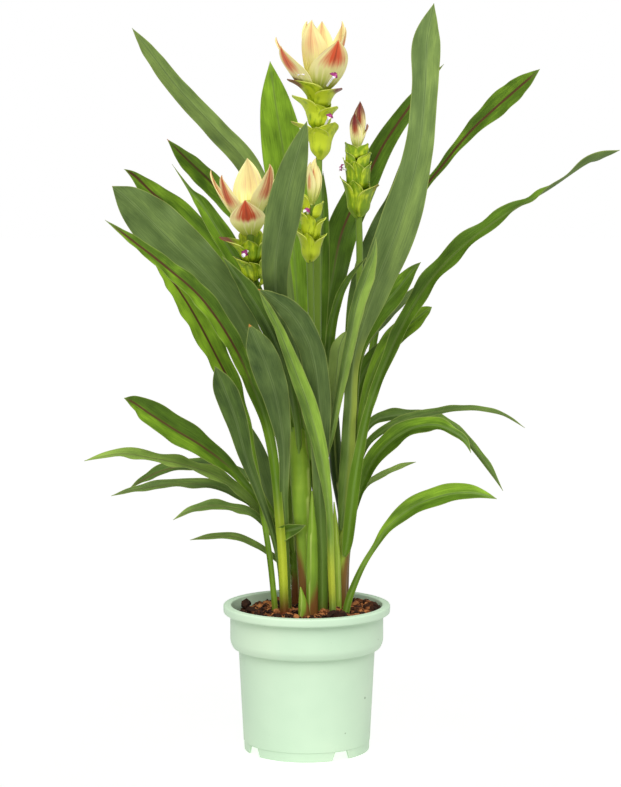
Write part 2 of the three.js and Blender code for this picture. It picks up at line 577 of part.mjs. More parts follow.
// A round stem through its stations, closed at both ends.
function makeTube(route, sides, grow = 0) {
  const places = placeRoute(route);
  const rings = places.length + 1;
  const points = [];
  const triangles = [];
  for (let ring = 0; ring <= rings; ring += 1) {
    const [x, y, z, width] = curveThrough(places, ring / rings);
    for (let side = 0; side < sides; side += 1) {
      const angle = (2 * Math.PI * side) / sides;
      const radius = Math.max(width, stemShape.tipWidth) / 2 + grow;
      points.push(new THREE.Vector3(x + radius * Math.cos(angle), y + radius * Math.sin(angle), z));
    }
  }
  const at = (ring, side) => ring * sides + (side % sides);
  for (let ring = 0; ring < rings; ring += 1) {
    for (let side = 0; side < sides; side += 1) {
      triangles.push([at(ring, side), at(ring, side + 1), at(ring + 1, side + 1)]);
      triangles.push([at(ring, side), at(ring + 1, side + 1), at(ring + 1, side)]);
    }
  }
  for (let side = 1; side < sides - 1; side += 1) {
    triangles.push([at(0, 0), at(0, side + 1), at(0, side)]);
    triangles.push([at(rings, 0), at(rings, side), at(rings, side + 1)]);
  }
  return makeSolid(points, triangles);
}

// A green bract wraps round the head's axis, a narrow one under the wider ones; a cream one bends
// round a line of its own.
function makeBract(foot, top, [, tipX, tipY, behind, size], kind, head, grow) {
  const tip = placeSeen(tipX, tipY, foot.y + behind);
  const rise = top.clone().sub(foot).normalize();
  const span = tip.clone().sub(foot);
  const height = span.dot(rise);
  const outward = span.addScaledVector(rise, -height);
  const reach = outward.length();
  outward.normalize();
  const side = rise.clone().cross(outward);
  const shares = bract[kind];
  const read = (list, place) => curveThrough(list.map((share) => [share]), place)[0];
  const columns = size < shares.narrow ? bract.narrowColumns : bract.columns;
  const body = head.body - (size < shares.narrow ? bract.layer : 0);
  const grid = Array.from({ length: bract.rows }, (_, row) => {
    const place = row / bract.rows;
    const radial = kind === "green"
      ? lerp(bract.footRadius, body, read(shares.body, place)) + (reach - body) * read(shares.reach, place)
      : reach * read(shares.reach, place) + head.bow * Math.sin(Math.PI * place);
    const bend = kind === "green" ? radial : bract.bend * size;
    const full = read(shares.full, place);
    const halfAngle = kind === "green" ? radians(size) * full : (size / 2 / bend) * full;
    return Array.from({ length: columns + 1 }, (_, column) => {
      const angle = halfAngle * (1 - (2 * column) / columns);
      return foot.clone()
        .addScaledVector(rise, height * read(shares.height, place))
        .addScaledVector(outward, radial - bend * (1 - Math.cos(angle)))
        .addScaledVector(side, bend * Math.sin(angle));
    });
  });
  return makeSheet(grid, tip, () => bract.thickness, grow);
}

function axisPoint(head, share) {
  const wanted = lerp(head.footY, head.topY, share);
  const rows = [...head.stalk, ...head.core];
  const index = rows.findIndex((row, at) => at > 0 && row[1] <= wanted);
  const [from, to] = [rows[index - 1], rows[index]];
  const along = (wanted - from[1]) / (to[1] - from[1]);
  const [x, back] = [0, 2].map((column) => lerp(from[column], to[column], along));
  return placeSeen(x, wanted, openBack(back, wanted));
}

function makeBracts(head, list, kind, grow) {
  const [topX, topY, topBack] = head.core[head.core.length - 1];
  const top = placeSeen(topX, topY, openBack(topBack, topY));
  return list.map((entry) => makeBract(axisPoint(head, entry[0]), top, entry, kind, head, grow));
}

function joinAll(solids) {
  return solids.reduce((sum, solid) => sum.add(solid));
}

function makePot() {
  const wall = pot.wall;
  const collarFoot = pot.height - pot.lipHeight - pot.collarHeight + pot.shoulderDrop;
  const lipFoot = pot.height - pot.lipHeight;
  const floorTop = pot.footHeight + pot.floorThickness;
  const outline = [
    [0, pot.footHeight],
    [pot.footRadius - wall, pot.footHeight],
    [pot.footRadius - wall, 0],
    [pot.footRadius, 0],
    [pot.footTopRadius - pot.footSeam, pot.footHeight],
    [pot.footTopRadius, pot.footHeight],
    [pot.bodyTopRadius, collarFoot],
    [pot.collarFootRadius, collarFoot + pot.shoulderDrop],
    [pot.collarRadius, collarFoot + pot.shoulderDrop + pot.collarTaper],
    [pot.collarRadius, lipFoot],
    [pot.rimRadius - pot.lipRound, lipFoot],
    [pot.rimRadius, lipFoot + pot.lipRound],
    [pot.rimRadius, pot.height - pot.lipRound],
    [pot.rimRadius - pot.lipRound, pot.height],
    [pot.rimInnerRadius + pot.lipRound / 2, pot.height],
    [pot.rimInnerRadius, pot.height - pot.lipRound],
    [pot.collarRadius - wall, lipFoot],
    [pot.collarRadius - wall, collarFoot + pot.shoulderDrop + pot.collarTaper],
    [pot.bodyTopRadius - wall, collarFoot],
    [pot.footTopRadius - wall, floorTop],
    [0, floorTop],
    [0, pot.footHeight],
  ].map(([radius, height]) => new THREE.Vector2(radius, height));
  const body = latheSolid(outline, pot.segments);
  const notches = Array.from({ length: notch.count }, (_, index) => {
    const turn = radians(notch.firstAngle + (index * 360) / notch.count);
    return makeNotch().applyMatrix4(new THREE.Matrix4().makeRotationZ(turn));
  });
  return notches.reduce((sum, geometry) => sum.subtract(mergedSolid(geometry)), body);
}

// A wedge-shaped drain notch through the foot ring, at the front.
function makeNotch() {
  const shape = new THREE.Shape();
  shape.moveTo(-notch.footWidth / 2, -notch.below);
  shape.lineTo(notch.footWidth / 2, -notch.below);
  shape.lineTo(notch.topWidth / 2, notch.height);
  shape.lineTo(-notch.topWidth / 2, notch.height);
  const geometry = new THREE.ExtrudeGeometry(shape, { depth: notch.depth, bevelEnabled: false });
  geometry.rotateX(Math.PI / 2);
  geometry.translate(0, notch.startInside - pot.footRadius, 0);
  return geometry;
}

function mergedSolid(geometry) {
  const position = geometry.getAttribute("position");
  const index = geometry.getIndex();
  const seen = new Map();
  const points = [];
  const name = (vertex) => {
    const point = new THREE.Vector3().fromBufferAttribute(position, vertex);
    const key = point.toArray().map((value) => Math.round(value * 1e4)).join();
    if (!seen.has(key)) seen.set(key, points.push(point) - 1);
    return seen.get(key);
  };
  const corners = index ? [...index.array] : [...Array(position.count).keys()];
  const triangles = [];
  for (let corner = 0; corner < corners.length; corner += 3) {
    const triangle = corners.slice(corner, corner + 3).map(name);
    if (new Set(triangle).size === 3) triangles.push(triangle);
  }
  return makeSolid(points, triangles);
}

function latheSolid(outline, segments) {
  const geometry = new THREE.LatheGeometry(outline, segments);
  geometry.rotateX(Math.PI / 2);
  return mergedSolid(geometry);
}

// The soil fills the pot; its top is a low mound with lumps.
function makeSoil() {
  const collarFoot = pot.height - pot.lipHeight - pot.collarHeight + pot.shoulderDrop;
  const floorTop = pot.footHeight + pot.floorThickness;
  const inset = pot.wall + gap;
  const outline = [
    [0, floorTop + gap],
    [pot.footTopRadius - inset, floorTop + gap],
    [pot.bodyTopRadius - inset, collarFoot],
    [pot.collarRadius - inset, collarFoot + pot.shoulderDrop + pot.collarTaper],
    [pot.collarRadius - inset, soil.topHeight],
  ];
  for (let ring = soil.rings; ring >= 0; ring -= 1) {
    const share = ring / (soil.rings + 1);
    outline.push([(pot.collarRadius - inset) * share, soil.topHeight + soil.mound * (1 - share ** 2)]);
  }
  outline.push([0, floorTop + gap]);
  const geometry = new THREE.LatheGeometry(outline.map((pair) => new THREE.Vector2(...pair)), soil.segments);
  geometry.rotateX(Math.PI / 2);
  const position = geometry.getAttribute("position");
  for (let vertex = 0; vertex < position.count; vertex += 1) {
    const [x, y, z] = [position.getX(vertex), position.getY(vertex), position.getZ(vertex)];
    const lump = Math.sin(x * soil.lumpsAcross) * Math.sin(y * soil.lumpsBack + x * soil.lumpSlant);
    const lean = soil.leanRight * x + soil.leanBack * y;
    if (z > soil.topHeight - nearby) position.setZ(vertex, z + lean + soil.lumpHeight * lump);
  }
  return mergedSolid(geometry);
}

const part = new THREE.Group();

function addPiece(name, solid, colour, roughness) {
  const material = new THREE.MeshStandardMaterial({ color: colour, roughness, metalness: 0 });
  const mesh = new THREE.Mesh(makeGeometry(solid), material);
  mesh.name = name;
  part.add(mesh);
}

const pieces = new Map();
const grown = new Map();
const carriers = new Map();

function keep(name, on, build, colour) {
  const cuts = [...grown.values()];
  const whole = build(0);
  const cleared = cuts.reduce((solid, cut) => solid.subtract(cut), whole);
  pieces.set(name, { solid: largestBody(cleared), colour });
  grown.set(name, build(gap));
  carriers.set(name, on);
}

Object.entries(stems).forEach(([name, stem]) => {
  keep(name, stem.on, (grow) => makeTube(stem.route, stemShape.sides, grow), colours.stem);
});
Object.entries(heads).forEach(([name, head]) => {
  const floret = [...head.floret, bract.floretWidth];
  keep(`${name}_bracts`, head.on, (grow) => joinAll([
    makeTube(head.stalk, stemShape.stalkSides, grow),
    ...makeBracts(head, head.green, "green", grow),
    ...makeBracts(head, [floret], "coma", grow),
  ]), colours.bract);
  keep(`${name}_coma`, `${name}_bracts`, (grow) => joinAll([
    makeTube(head.core, stemShape.stalkSides, grow),
    ...makeBracts(head, head.coma, "coma", grow),
  ]), colours.coma);
});
Object.entries(leaves).forEach(([name, leaf]) => {
  keep(name, leaf.on, (grow) => makeLeaf(leaf, grow), colours[leaf.colour]);
});

const holes = [...carriers.keys()].filter((name) => carriers.get(name) === "soil");
const soilAroundStems = holes.reduce((sum, name) => sum.subtract(grown.get(name)), makeSoil());
addPiece("pot", makePot(), pot.colour, roughness.pot);
addPiece("soil", largestBody(soilAroundStems), soil.colour, roughness.soil);
pieces.forEach(({ solid, colour }, name) => addPiece(name, solid, colour, roughness.plant));

// The origin lies under the middle of the whole plant.
const middle = new THREE.Box3().setFromObject(part).getCenter(new THREE.Vector3());
part.position.set(-middle.x, -middle.y, 0);

export default part;
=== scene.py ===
import math
import random

import bmesh
import bpy
import numpy as np
from mathutils import Matrix, Vector, noise


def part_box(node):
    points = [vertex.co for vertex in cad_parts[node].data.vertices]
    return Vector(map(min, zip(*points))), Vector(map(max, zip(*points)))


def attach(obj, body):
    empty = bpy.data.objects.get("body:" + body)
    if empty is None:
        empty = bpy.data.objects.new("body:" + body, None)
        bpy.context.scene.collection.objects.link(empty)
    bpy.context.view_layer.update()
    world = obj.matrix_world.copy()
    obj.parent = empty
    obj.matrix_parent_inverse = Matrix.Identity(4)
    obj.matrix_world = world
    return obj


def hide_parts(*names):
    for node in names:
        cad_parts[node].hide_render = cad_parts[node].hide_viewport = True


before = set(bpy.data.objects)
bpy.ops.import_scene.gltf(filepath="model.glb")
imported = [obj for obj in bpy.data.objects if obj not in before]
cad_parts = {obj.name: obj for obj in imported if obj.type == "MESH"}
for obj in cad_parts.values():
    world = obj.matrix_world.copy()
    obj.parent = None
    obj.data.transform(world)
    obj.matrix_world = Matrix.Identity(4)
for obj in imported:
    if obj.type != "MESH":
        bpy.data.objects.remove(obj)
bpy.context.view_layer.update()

# A siam tulip in a nursery pot. Leaves, stems and flower heads are placed by where they are seen
# in the picture and how far back they lie, in millimetres behind the pot's middle.

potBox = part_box("pot")
potMiddle = (potBox[0] + potBox[1]) / 2
millimetre = 0.001

view = {
    "distance": 1650,
    "height": 417,
    "right": 2.7,
    "pitch": 5.55,
    "focalPixels": 2328,
    "width": 621,
    "tall": 787,
    "sensor": 36,
}

habit = {"closedY": 560, "openY": 180, "opening": 1.3}  # the clump opens as it rises

lights = {
    "world": 0.46,
    "sun": {"from": (-0.02, -0.8, 1.05), "strength": 3.25, "softness": 55},
    "floorGlow": 0.58,
    "floorSize": 12,
}


def shaded(red, green, blue):
    # a colour as it is seen, from 0 to 255, turned into the linear one that shaders use
    seen = np.array([red, green, blue]) / 255
    linear = np.where(seen <= 0.04045, seen / 12.92, ((seen + 0.055) / 1.055) ** 2.4)
    return (*linear.tolist(), 1)


def smooth(value, low, high):
    share = np.clip((np.asarray(value, float) - low) / (high - low), 0, 1)
    return share * share * (3 - 2 * share)


def mixed(low, high, share):
    return low + (high - low) * share


class Value:
    # a shader socket that can be used in sums

    def __init__(self, nodes, socket):
        self.nodes = nodes
        self.socket = socket

    def math(self, operation, *others):
        sockets = dict(enumerate((self, *others)))
        return self.nodes.node("ShaderNodeMath", {"operation": operation}, sockets)

    def __add__(self, other):
        return self.math("ADD", other)

    __radd__ = __add__

    def __mul__(self, other):
        return self.math("MULTIPLY", other)

    __rmul__ = __mul__

    def __sub__(self, other):
        return self.math("SUBTRACT", other)

    def __rsub__(self, other):
        return self.math("MULTIPLY_ADD", -1, other)

    def __abs__(self):
        return self.math("ABSOLUTE")


class Nodes:
    # a tree of shader nodes, all made by the node method

    def __init__(self, tree):
        self.tree = tree

    def node(self, kind, settings=None, sockets=None, output=0):
        made = self.tree.nodes.new(kind)
        for name, value in (settings or {}).items():
            if name == "stops":
                ramp = made.color_ramp
                while len(ramp.elements) < len(value):
                    ramp.elements.new(1)
                for element, (place, colour) in zip(ramp.elements, value):
                    element.position = place
                    element.color = colour
            else:
                setattr(made, name, value)
        for name, value in (sockets or {}).items():
            if isinstance(value, Value):
                self.tree.links.new(value.socket, made.inputs[name])
            else:
                made.inputs[name].default_value = value
        return Value(self, made.outputs[output])


class Finish(Nodes):
    # one material

    def __init__(self, name, **uniform):
        self.material = bpy.data.materials.new(name)
        self.material.use_nodes = True
        super().__init__(self.material.node_tree)
        self.surface = self.tree.nodes["Principled BSDF"]
        for socket, value in uniform.items():
            self.surface.inputs[socket.replace("_", " ")].default_value = value

    def read(self, name):
        settings = {"attribute_type": "GEOMETRY", "attribute_name": name}
        return self.node("ShaderNodeAttribute", settings, output="Fac")

    def reads(self, *names):
        return [self.read(name) for name in names]

    def place(self):
        return self.node("ShaderNodeTexCoord", output="Object")

    def point(self, x=0, y=0, z=0):
        return self.node("ShaderNodeCombineXYZ", None, {"X": x, "Y": y, "Z": z})

    def noise(self, vector, scale, detail=3, roughness=0.5):
        sockets = {"Vector": vector, "Scale": scale, "Detail": detail, "Roughness": roughness}
        return self.node("ShaderNodeTexNoise", None, sockets, "Fac")

    def step(self, value, low, high):
        sockets = {"Value": value, "From Min": low, "From Max": high}
        return self.node("ShaderNodeMapRange", {"interpolation_type": "SMOOTHSTEP"}, sockets)

    def blend(self, factor, first, second):
        sockets = {0: factor, 6: first, 7: second}
        return self.node("ShaderNodeMix", {"data_type": "RGBA"}, sockets, 2)

    def over(self, factor, colour):
        # a further colour on what is there
        self.colour = self.blend(factor, self.colour, colour)

    def ramp(self, factor, stops):
        return self.node("ShaderNodeValToRGB", {"stops": stops}, {"Fac": factor}, "Color")

    def feed(self, **links):
        for socket, value in links.items():
            self.tree.links.new(value.socket, self.surface.inputs[socket.replace("_", " ")])

    def bump(self, height, distance, strength):
        sockets = {"Height": height, "Distance": distance, "Strength": strength}
        self.feed(Normal=self.node("ShaderNodeBump", None, sockets))


leafColours = {
    "upper": [(0, shaded(42, 62, 10)), (0.5, shaded(84, 116, 28)), (1, shaded(146, 186, 48))],
    "under": [(0, shaded(60, 82, 38)), (0.5, shaded(98, 120, 62)), (1, shaded(140, 164, 82))],
    "stalk": shaded(112, 148, 42),
    "stripe": shaded(88, 54, 34),
    "rib": shaded(58, 82, 38),
    "ribLight": shaded(140, 160, 98),
    "edge": shaded(148, 160, 84),
    "dry": shaded(196, 132, 66),
    "brown": shaded(112, 56, 32),
    "yellow": shaded(186, 196, 60),
}

# how strongly each thing shows, how far the veins slant and how far the midrib wanders
leafLook = {
    "slant": 2.2, "veins": 0.5, "patches": 0.9, "fibres": 0.25, "stalk": 0.7, "wander": 0.32,
    "ribLight": 0.22, "rib": 0.5, "edge": 0.55, "specks": 0.45,
}


def leafFinish():
    look = leafLook
    finish = Finish("leaf", Specular_IOR_Level=0.14)
    across, along, upper, place = finish.reads("across", "along", "upper", "place")
    # veins leave the midrib at a narrow angle and run almost along the leaf
    lengthways = along - abs(across) * look["slant"]
    veins = finish.noise(finish.point(abs(across) * 1.5, lengthways * 0.05, upper), 1.1, 2)
    fibres = finish.noise(finish.point(across * 5, lengthways * 0.04, 3), 1, 2)
    patches = finish.noise(finish.point(across * 0.12, along * 0.035, upper * 5 + 2), 1, 3)
    tone = finish.read("tone") + (veins - 0.5) * look["veins"]
    tone = tone + (patches - 0.5) * look["patches"] + (fibres - 0.5) * look["fibres"]
    upperColour = finish.ramp(tone, leafColours["upper"])
    underColour = finish.ramp(tone, leafColours["under"])
    # the side colour also paints the grey under colour on some upper faces: a painted sheen of the sky's
    # reflection
    finish.colour = finish.blend(finish.read("sideColour"), underColour, upperColour)
    finish.over(finish.read("stalk") * look["stalk"], leafColours["stalk"])
    # the midrib: a brown stripe above, a thin dark line between paler ones below
    wander = finish.noise(finish.point(along * 0.06, 0, 1), 1, 1) - 0.5
    offRib = abs(across + wander * look["wander"])
    stripe = (1 - finish.step(offRib, 0.5, 1.25)) * finish.read("stripe") * upper
    ragged = finish.step(fibres + stripe, 0.5, 1.15)
    finish.over(stripe * ragged, leafColours["stripe"])
    ribLight = (1 - finish.step(offRib, 0.35, 1.4)) * look["ribLight"]
    finish.over(ribLight * (1 - finish.read("stripe") * upper), leafColours["ribLight"])
    ribLine = (1 - finish.step(offRib, 0.12, 0.42)) * (1 - upper * 0.4) * finish.step(place, 0.3, 0.6)
    finish.over(ribLine * look["rib"], leafColours["rib"])
    edge = 1 - finish.step(finish.read("inEdge"), 0.15, 0.7)
    finish.over(edge * look["edge"], leafColours["edge"])
    worn = finish.step(finish.read("worn") + (patches - 0.5) * 0.5, 0.42, 0.66)
    finish.over(worn, leafColours["dry"])
    finish.over(finish.read("yellow"), leafColours["yellow"])
    finish.over(finish.read("brown"), leafColours["brown"])
    specks = finish.noise(finish.point(across * 0.9, along * 0.9, 7), 1, 2)
    finish.over(finish.step(specks, 0.72, 0.8) * look["specks"], leafColours["ribLight"])
    finish.feed(Base_Color=finish.colour, Roughness=0.56 - upper * 0.1 + (patches - 0.5) * 0.14)
    finish.bump(veins * 0.6 + fibres * 0.3 + offRib * 0.2, 0.0004, 0.5)
    return finish.material


stemColours = {
    "green": [(0, shaded(44, 64, 10)), (0.5, shaded(112, 144, 36)), (1, shaded(164, 188, 66))],
    "brown": shaded(112, 52, 30),
    "light": shaded(196, 206, 120),
    "red": shaded(150, 70, 40),
}

stemLook = {"fibres": 0.34, "patches": 0.4, "brown": 0.85, "ragged": 0.6, "light": 0.55}


def stemFinish():
    look = stemLook
    finish = Finish("stem", Specular_IOR_Level=0.2)
    around, along = finish.reads("around", "along")
    fibres = finish.noise(finish.point(around * 9, along * 0.035, 1), 1, 3)
    patches = finish.noise(finish.point(around * 0.8, along * 0.05, 4), 1, 3)
    tone = finish.read("tone") + (fibres - 0.5) * look["fibres"] + (patches - 0.5) * look["patches"]
    finish.colour = finish.ramp(tone, stemColours["green"])
    ragged = (fibres - 0.5) * look["ragged"] + (patches - 0.5) * look["patches"]
    finish.over(finish.step(finish.read("brown") + ragged, 0.3, 0.85) * look["brown"], stemColours["brown"])
    finish.over(finish.read("light") * look["light"], stemColours["light"])
    finish.over(finish.read("red"), stemColours["red"])
    finish.feed(Base_Color=finish.colour, Roughness=0.4 + patches * 0.12)
    finish.bump(fibres, 0.0004, 0.4)
    return finish.material


bractColours = {
    "deep": shaded(122, 154, 18),
    "lime": shaded(198, 214, 44),
    "stalk": shaded(112, 140, 44),
    "pale": shaded(216, 220, 110),
    "tip": shaded(126, 66, 42),
    "cream": shaded(246, 236, 164),
    "creamFoot": shaded(196, 206, 84),
    "white": shaded(250, 242, 206),
    "blush": shaded(228, 92, 54),
    "rust": shaded(160, 66, 36),
    "line": shaded(116, 52, 34),
    "maroon": shaded(112, 42, 46),
}

bractLook = {"rim": 0.65, "white": 0.6, "line": 0.5, "rustyRim": 0.5, "maroon": 0.85, "streaks": 0.9}


def greenBractFinish():
    finish = Finish("bractGreen", Specular_IOR_Level=0.3)
    across, place, seed = finish.reads("across", "place", "seed")
    veins = finish.noise(finish.point(across * 2.6, place * 1.4, seed * 9), 1.6, 2)
    clouds = finish.noise(finish.place(), 150, 3)
    body = finish.step(veins + clouds - 0.5 + finish.read("tone"), 0.25, 0.7)
    finish.colour = finish.blend(body, bractColours["deep"], bractColours["lime"])
    finish.over(finish.read("stalk"), bractColours["stalk"])
    # the pale rim is painted light: the glow of light shining through the bract's thin edge
    rim = finish.step(finish.read("rim") + (clouds - 0.5) * 0.3, 0.55, 0.95)
    finish.over(rim * bractLook["rim"], bractColours["pale"])
    tip = finish.step(finish.read("tip") + (clouds - 0.5) * 0.5, 0.45, 0.9)
    finish.over(tip, bractColours["tip"])
    finish.feed(Base_Color=finish.colour, Roughness=0.36 + clouds * 0.14)
    finish.bump(veins, 0.0006, 0.5)
    return finish.material


def creamBractFinish():
    look = bractLook
    finish = Finish("bractCream", Specular_IOR_Level=0.2)
    across, place, seed, stain = finish.reads("across", "place", "seed", "stain")
    veins = finish.noise(finish.point(across * 5.2, place * 1.1, seed * 9), 1.6, 3)
    clouds = finish.noise(finish.place(), 130, 2)
    foot = 1 - finish.step(place + (veins - 0.5) * 0.3, 0.1, 0.55)
    finish.colour = finish.blend(foot, bractColours["cream"], bractColours["creamFoot"])
    finish.over(finish.step(veins, 0.5, 0.75) * look["white"], bractColours["white"])
    rusty = finish.blend(finish.read("rust"), bractColours["blush"], bractColours["rust"])
    spread = finish.read("blush") * (0.5 + stain * 0.5)
    blush = finish.step(spread + (veins - 0.5) * look["streaks"] + (clouds - 0.5) * 0.2, 0.25, 0.95)
    finish.over(blush * (0.55 + stain * 0.45), rusty)
    line = (1 - finish.step(abs(across), 0.02, 0.1)) * finish.step(place, 0.4, 0.7) * stain
    finish.over(line * look["line"], bractColours["line"])
    rim = finish.step(finish.read("rim") + (clouds - 0.5) * 0.2, 0.86, 0.98) * stain
    finish.over(rim * look["rustyRim"], bractColours["rust"])
    tip = finish.step(finish.read("tip") + (clouds + veins * 2 - 1.5) * 0.6, 0.3, 0.85)
    finish.over(tip * look["maroon"], bractColours["maroon"])
    finish.feed(Base_Color=finish.colour, Roughness=0.44 + clouds * 0.14)
    finish.bump(veins, 0.0005, 0.4)
    return finish.material


def petalFinish(name, dark, pale):
    finish = Finish(name, Specular_IOR_Level=0.4)
    clouds = finish.noise(finish.place(), 900, 2)
    deepens = finish.step(finish.read("place") + (clouds - 0.5) * 0.5, 0.2, 0.8)
    finish.feed(Base_Color=finish.blend(deepens, pale, dark), Roughness=0.4 + clouds * 0.15)
    finish.bump(clouds, 0.0003, 0.4)
    return finish.material


potColours = {
    "plastic": [(0.3, shaded(187, 212, 184)), (0.5, shaded(192, 216, 188)), (0.7, shaded(198, 219, 191))],
    "speck": shaded(104, 132, 92),
    "dust": shaded(186, 206, 170),
}


def potFinish():
    finish = Finish("potPlastic", Specular_IOR_Level=0.3)
    spot = finish.place()
    clouds = finish.noise(spot, 14, 3, 0.6)
    grain = finish.noise(spot, 1400, 2)
    finish.colour = finish.ramp(clouds, potColours["plastic"])
    dirt = finish.noise(spot, 210, 2, 0.4)
    finish.over(finish.step(dirt, 0.755, 0.79) * 0.7, potColours["speck"])
    smear = finish.noise(spot, 46, 4, 0.65)
    finish.over(finish.step(smear, 0.6, 0.85) * 0.4, potColours["dust"])
    finish.feed(Base_Color=finish.colour, Roughness=0.42 + smear * 0.12)
    finish.bump(grain + clouds * 0.5, 0.0002, 0.25)
    return finish.material


peatColours = [
    (0, shaded(24, 14, 8)), (0.4, shaded(56, 32, 18)), (0.68, shaded(112, 64, 34)), (1, shaded(178, 116, 66)),
]


def peatFinish(name, scale, lift):
    finish = Finish(name, Specular_IOR_Level=0.2)
    lumps = finish.noise(finish.place(), scale, 5, 0.65)
    fine = finish.noise(finish.place(), scale * 5, 3)
    shade = finish.step(lumps, 0.3, 0.8) * 0.55 + (fine - 0.5) * 0.5 + finish.read("shade") * lift
    finish.feed(Base_Color=finish.ramp(shade, peatColours), Roughness=0.84 + fine * 0.14)
    finish.bump(fine + lumps, 0.0008, 0.8)
    return finish.material


def floorFinish():
    finish = Finish("floor", Roughness=0.9, Specular_IOR_Level=0, Emission_Strength=lights["floorGlow"])
    paper = finish.noise(finish.place(), 30, 2)
    pale = finish.blend(paper, shaded(252, 252, 252), shaded(254, 254, 254))
    finish.feed(Base_Color=pale, Emission_Color=pale)
    return finish.material


finishes = {
    "leaf": leafFinish(),
    "stem": stemFinish(),
    "green": greenBractFinish(),
    "cream": creamBractFinish(),
    "violet": petalFinish("petalViolet", shaded(126, 16, 84), shaded(170, 60, 130)),
    "white": petalFinish("petalWhite", shaded(236, 228, 240), shaded(250, 248, 250)),
    "pot": potFinish(),
    "soil": peatFinish("peat", 160, 0.3),
    "crumb": peatFinish("peatCrumb", 260, 0.9),
    "floor": floorFinish(),
}
print("finishes made")


def openBack(back, y):
    return back * (1 + habit["opening"] * (1 - smooth(y, habit["openY"], habit["closedY"])))


def placeSeen(x, y, back):
    # where a point lies, in millimetres from the pot's middle, that is seen at x, y of the picture
    pitch = math.radians(view["pitch"])
    across = (x - view["width"] / 2) / view["focalPixels"]
    down = (y - view["tall"] / 2) / view["focalPixels"]
    reach = (back + view["distance"]) / (math.cos(pitch) - down * math.sin(pitch))
    tall = view["height"] - reach * (math.sin(pitch) + down * math.cos(pitch))
    return np.array([view["right"] + reach * across, back, tall])


def placeRoute(route):
    return np.array([[*placeSeen(x, y, openBack(back, y)), width] for x, y, back, width in route])


def curveThrough(rows, place):
    rows = np.asarray(rows, float)
    if rows.ndim == 1:
        rows = rows[:, None]
    last = len(rows) - 1
    segment = np.minimum((place * last).astype(int), last - 1)
    along = (place * last - segment)[:, None]
    before = rows[np.maximum(segment - 1, 0)]
    start = rows[segment]
    end = rows[segment + 1]
    after = rows[np.minimum(segment + 2, last)]
    slopeStart = (end - before) / 2
    slopeEnd = (after - start) / 2
    rise = end - start
    bend = (3 * rise - 2 * slopeStart - slopeEnd) * along**2
    return start + slopeStart * along + bend + (slopeStart + slopeEnd - 2 * rise) * along**3


def unit(vectors):
    return vectors / np.maximum(np.linalg.norm(vectors, axis=-1, keepdims=True), 1e-9)


def routeLength(places):
    return np.linalg.norm(np.diff(places[:, :3], axis=0), axis=1).sum()


def putIn(name, data):
    made = bpy.data.objects.new(name, data)
    bpy.context.scene.collection.objects.link(made)
    return made


def meshOf(name, points, faces):
    # points are in millimetres from the pot's middle
    mesh = bpy.data.meshes.new(name)
    seated = np.asarray(points) * millimetre + np.array([potMiddle.x, potMiddle.y, 0])
    mesh.from_pydata(seated.tolist(), [], faces)
    return mesh


def addPiece(name, points, faces, attributes, finish, sharpAngle=None):
    mesh = meshOf(name, points, faces)
    for key, values in attributes.items():
        layer = mesh.attributes.new(key, "FLOAT", "POINT")
        layer.data.foreach_set("value", np.asarray(values, np.float32).ravel())
    mesh.shade_smooth()
    if sharpAngle:
        mesh.set_sharp_from_angle(angle=math.radians(sharpAngle))
    mesh.materials.append(finishes[finish])
    piece = putIn(name, mesh)
    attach(piece, "root")
    return piece


def bothSides(values, shape):
    # values over a grid, for the upper and the lower side of a sheet
    return {key: np.tile(np.broadcast_to(value, shape).ravel(), 2) for key, value in values.items()}


def tubeFaces(rows, sides, ends=True):
    grid = np.arange(rows * sides).reshape(rows, sides)
    after = np.roll(grid, -1, axis=1)
    faces = np.stack([grid[:-1], after[:-1], after[1:], grid[1:]], axis=-1).reshape(-1, 4).tolist()
    return faces + [grid[0, ::-1].tolist(), grid[-1].tolist()] if ends else faces


def sheetShape(upper, lower):
    # a thin closed sheet between two grids of points, as points and faces
    rows, columns = upper.shape[:2]
    size = rows * columns
    points = np.concatenate([upper.reshape(-1, 3), lower.reshape(-1, 3)])
    grid = np.arange(size).reshape(rows, columns)
    near = np.stack([grid[:-1, :-1], grid[1:, :-1], grid[1:, 1:], grid[:-1, 1:]], axis=-1).reshape(-1, 4)
    far = near[:, ::-1] + size
    faces = [near, far]
    for line, flip in ((grid[:, 0], True), (grid[:, -1], False), (grid[0], False), (grid[-1], True)):
        wall = np.stack([line[:-1], line[1:], line[1:] + size, line[:-1] + size], axis=-1)
        faces.append(wall[:, ::-1] if flip else wall)
    return points, np.concatenate(faces)


def joinShapes(shapes):
    # several shapes as one: each is points, faces and a dictionary of attributes
    points, faces, attributes, first = [], [], {}, 0
    for shapePoints, shapeFaces, values in shapes:
        points.append(shapePoints)
        faces.extend((np.asarray(shapeFaces) + first).tolist())
        first += len(shapePoints)
        for key, value in values.items():
            attributes.setdefault(key, []).append(np.asarray(value, float).ravel())
    return np.concatenate(points), faces, {key: np.concatenate(value) for key, value in attributes.items()}


leafShape = {
    "rowLength": 3, "leastRows": 24, "columns": 12, "tipEnd": 0.999, "edge": 0.28, "rib": 0.75,
    "ribWidth": 0.96, "waveLength": 100 / 3, "waveShift": 1.3, "fullWave": 5, "ruffle": 0.35,
    "ruffleLength": 21, "ruffleDrift": 0.13, "ruffleShift": 2.1, "channel": 0.95, "channelEnd": 0.42,
    "soilY": 600,
}

# where along a leaf each colour begins and is full, or is full and has gone
leafFades = {
    "stripe": (0.25, 0.5), "stripeEnd": (0.9, 1), "worn": (0.93, 1), "stalk": (0.05, 0.4),
    "brown": (0.02, 0.07),
}
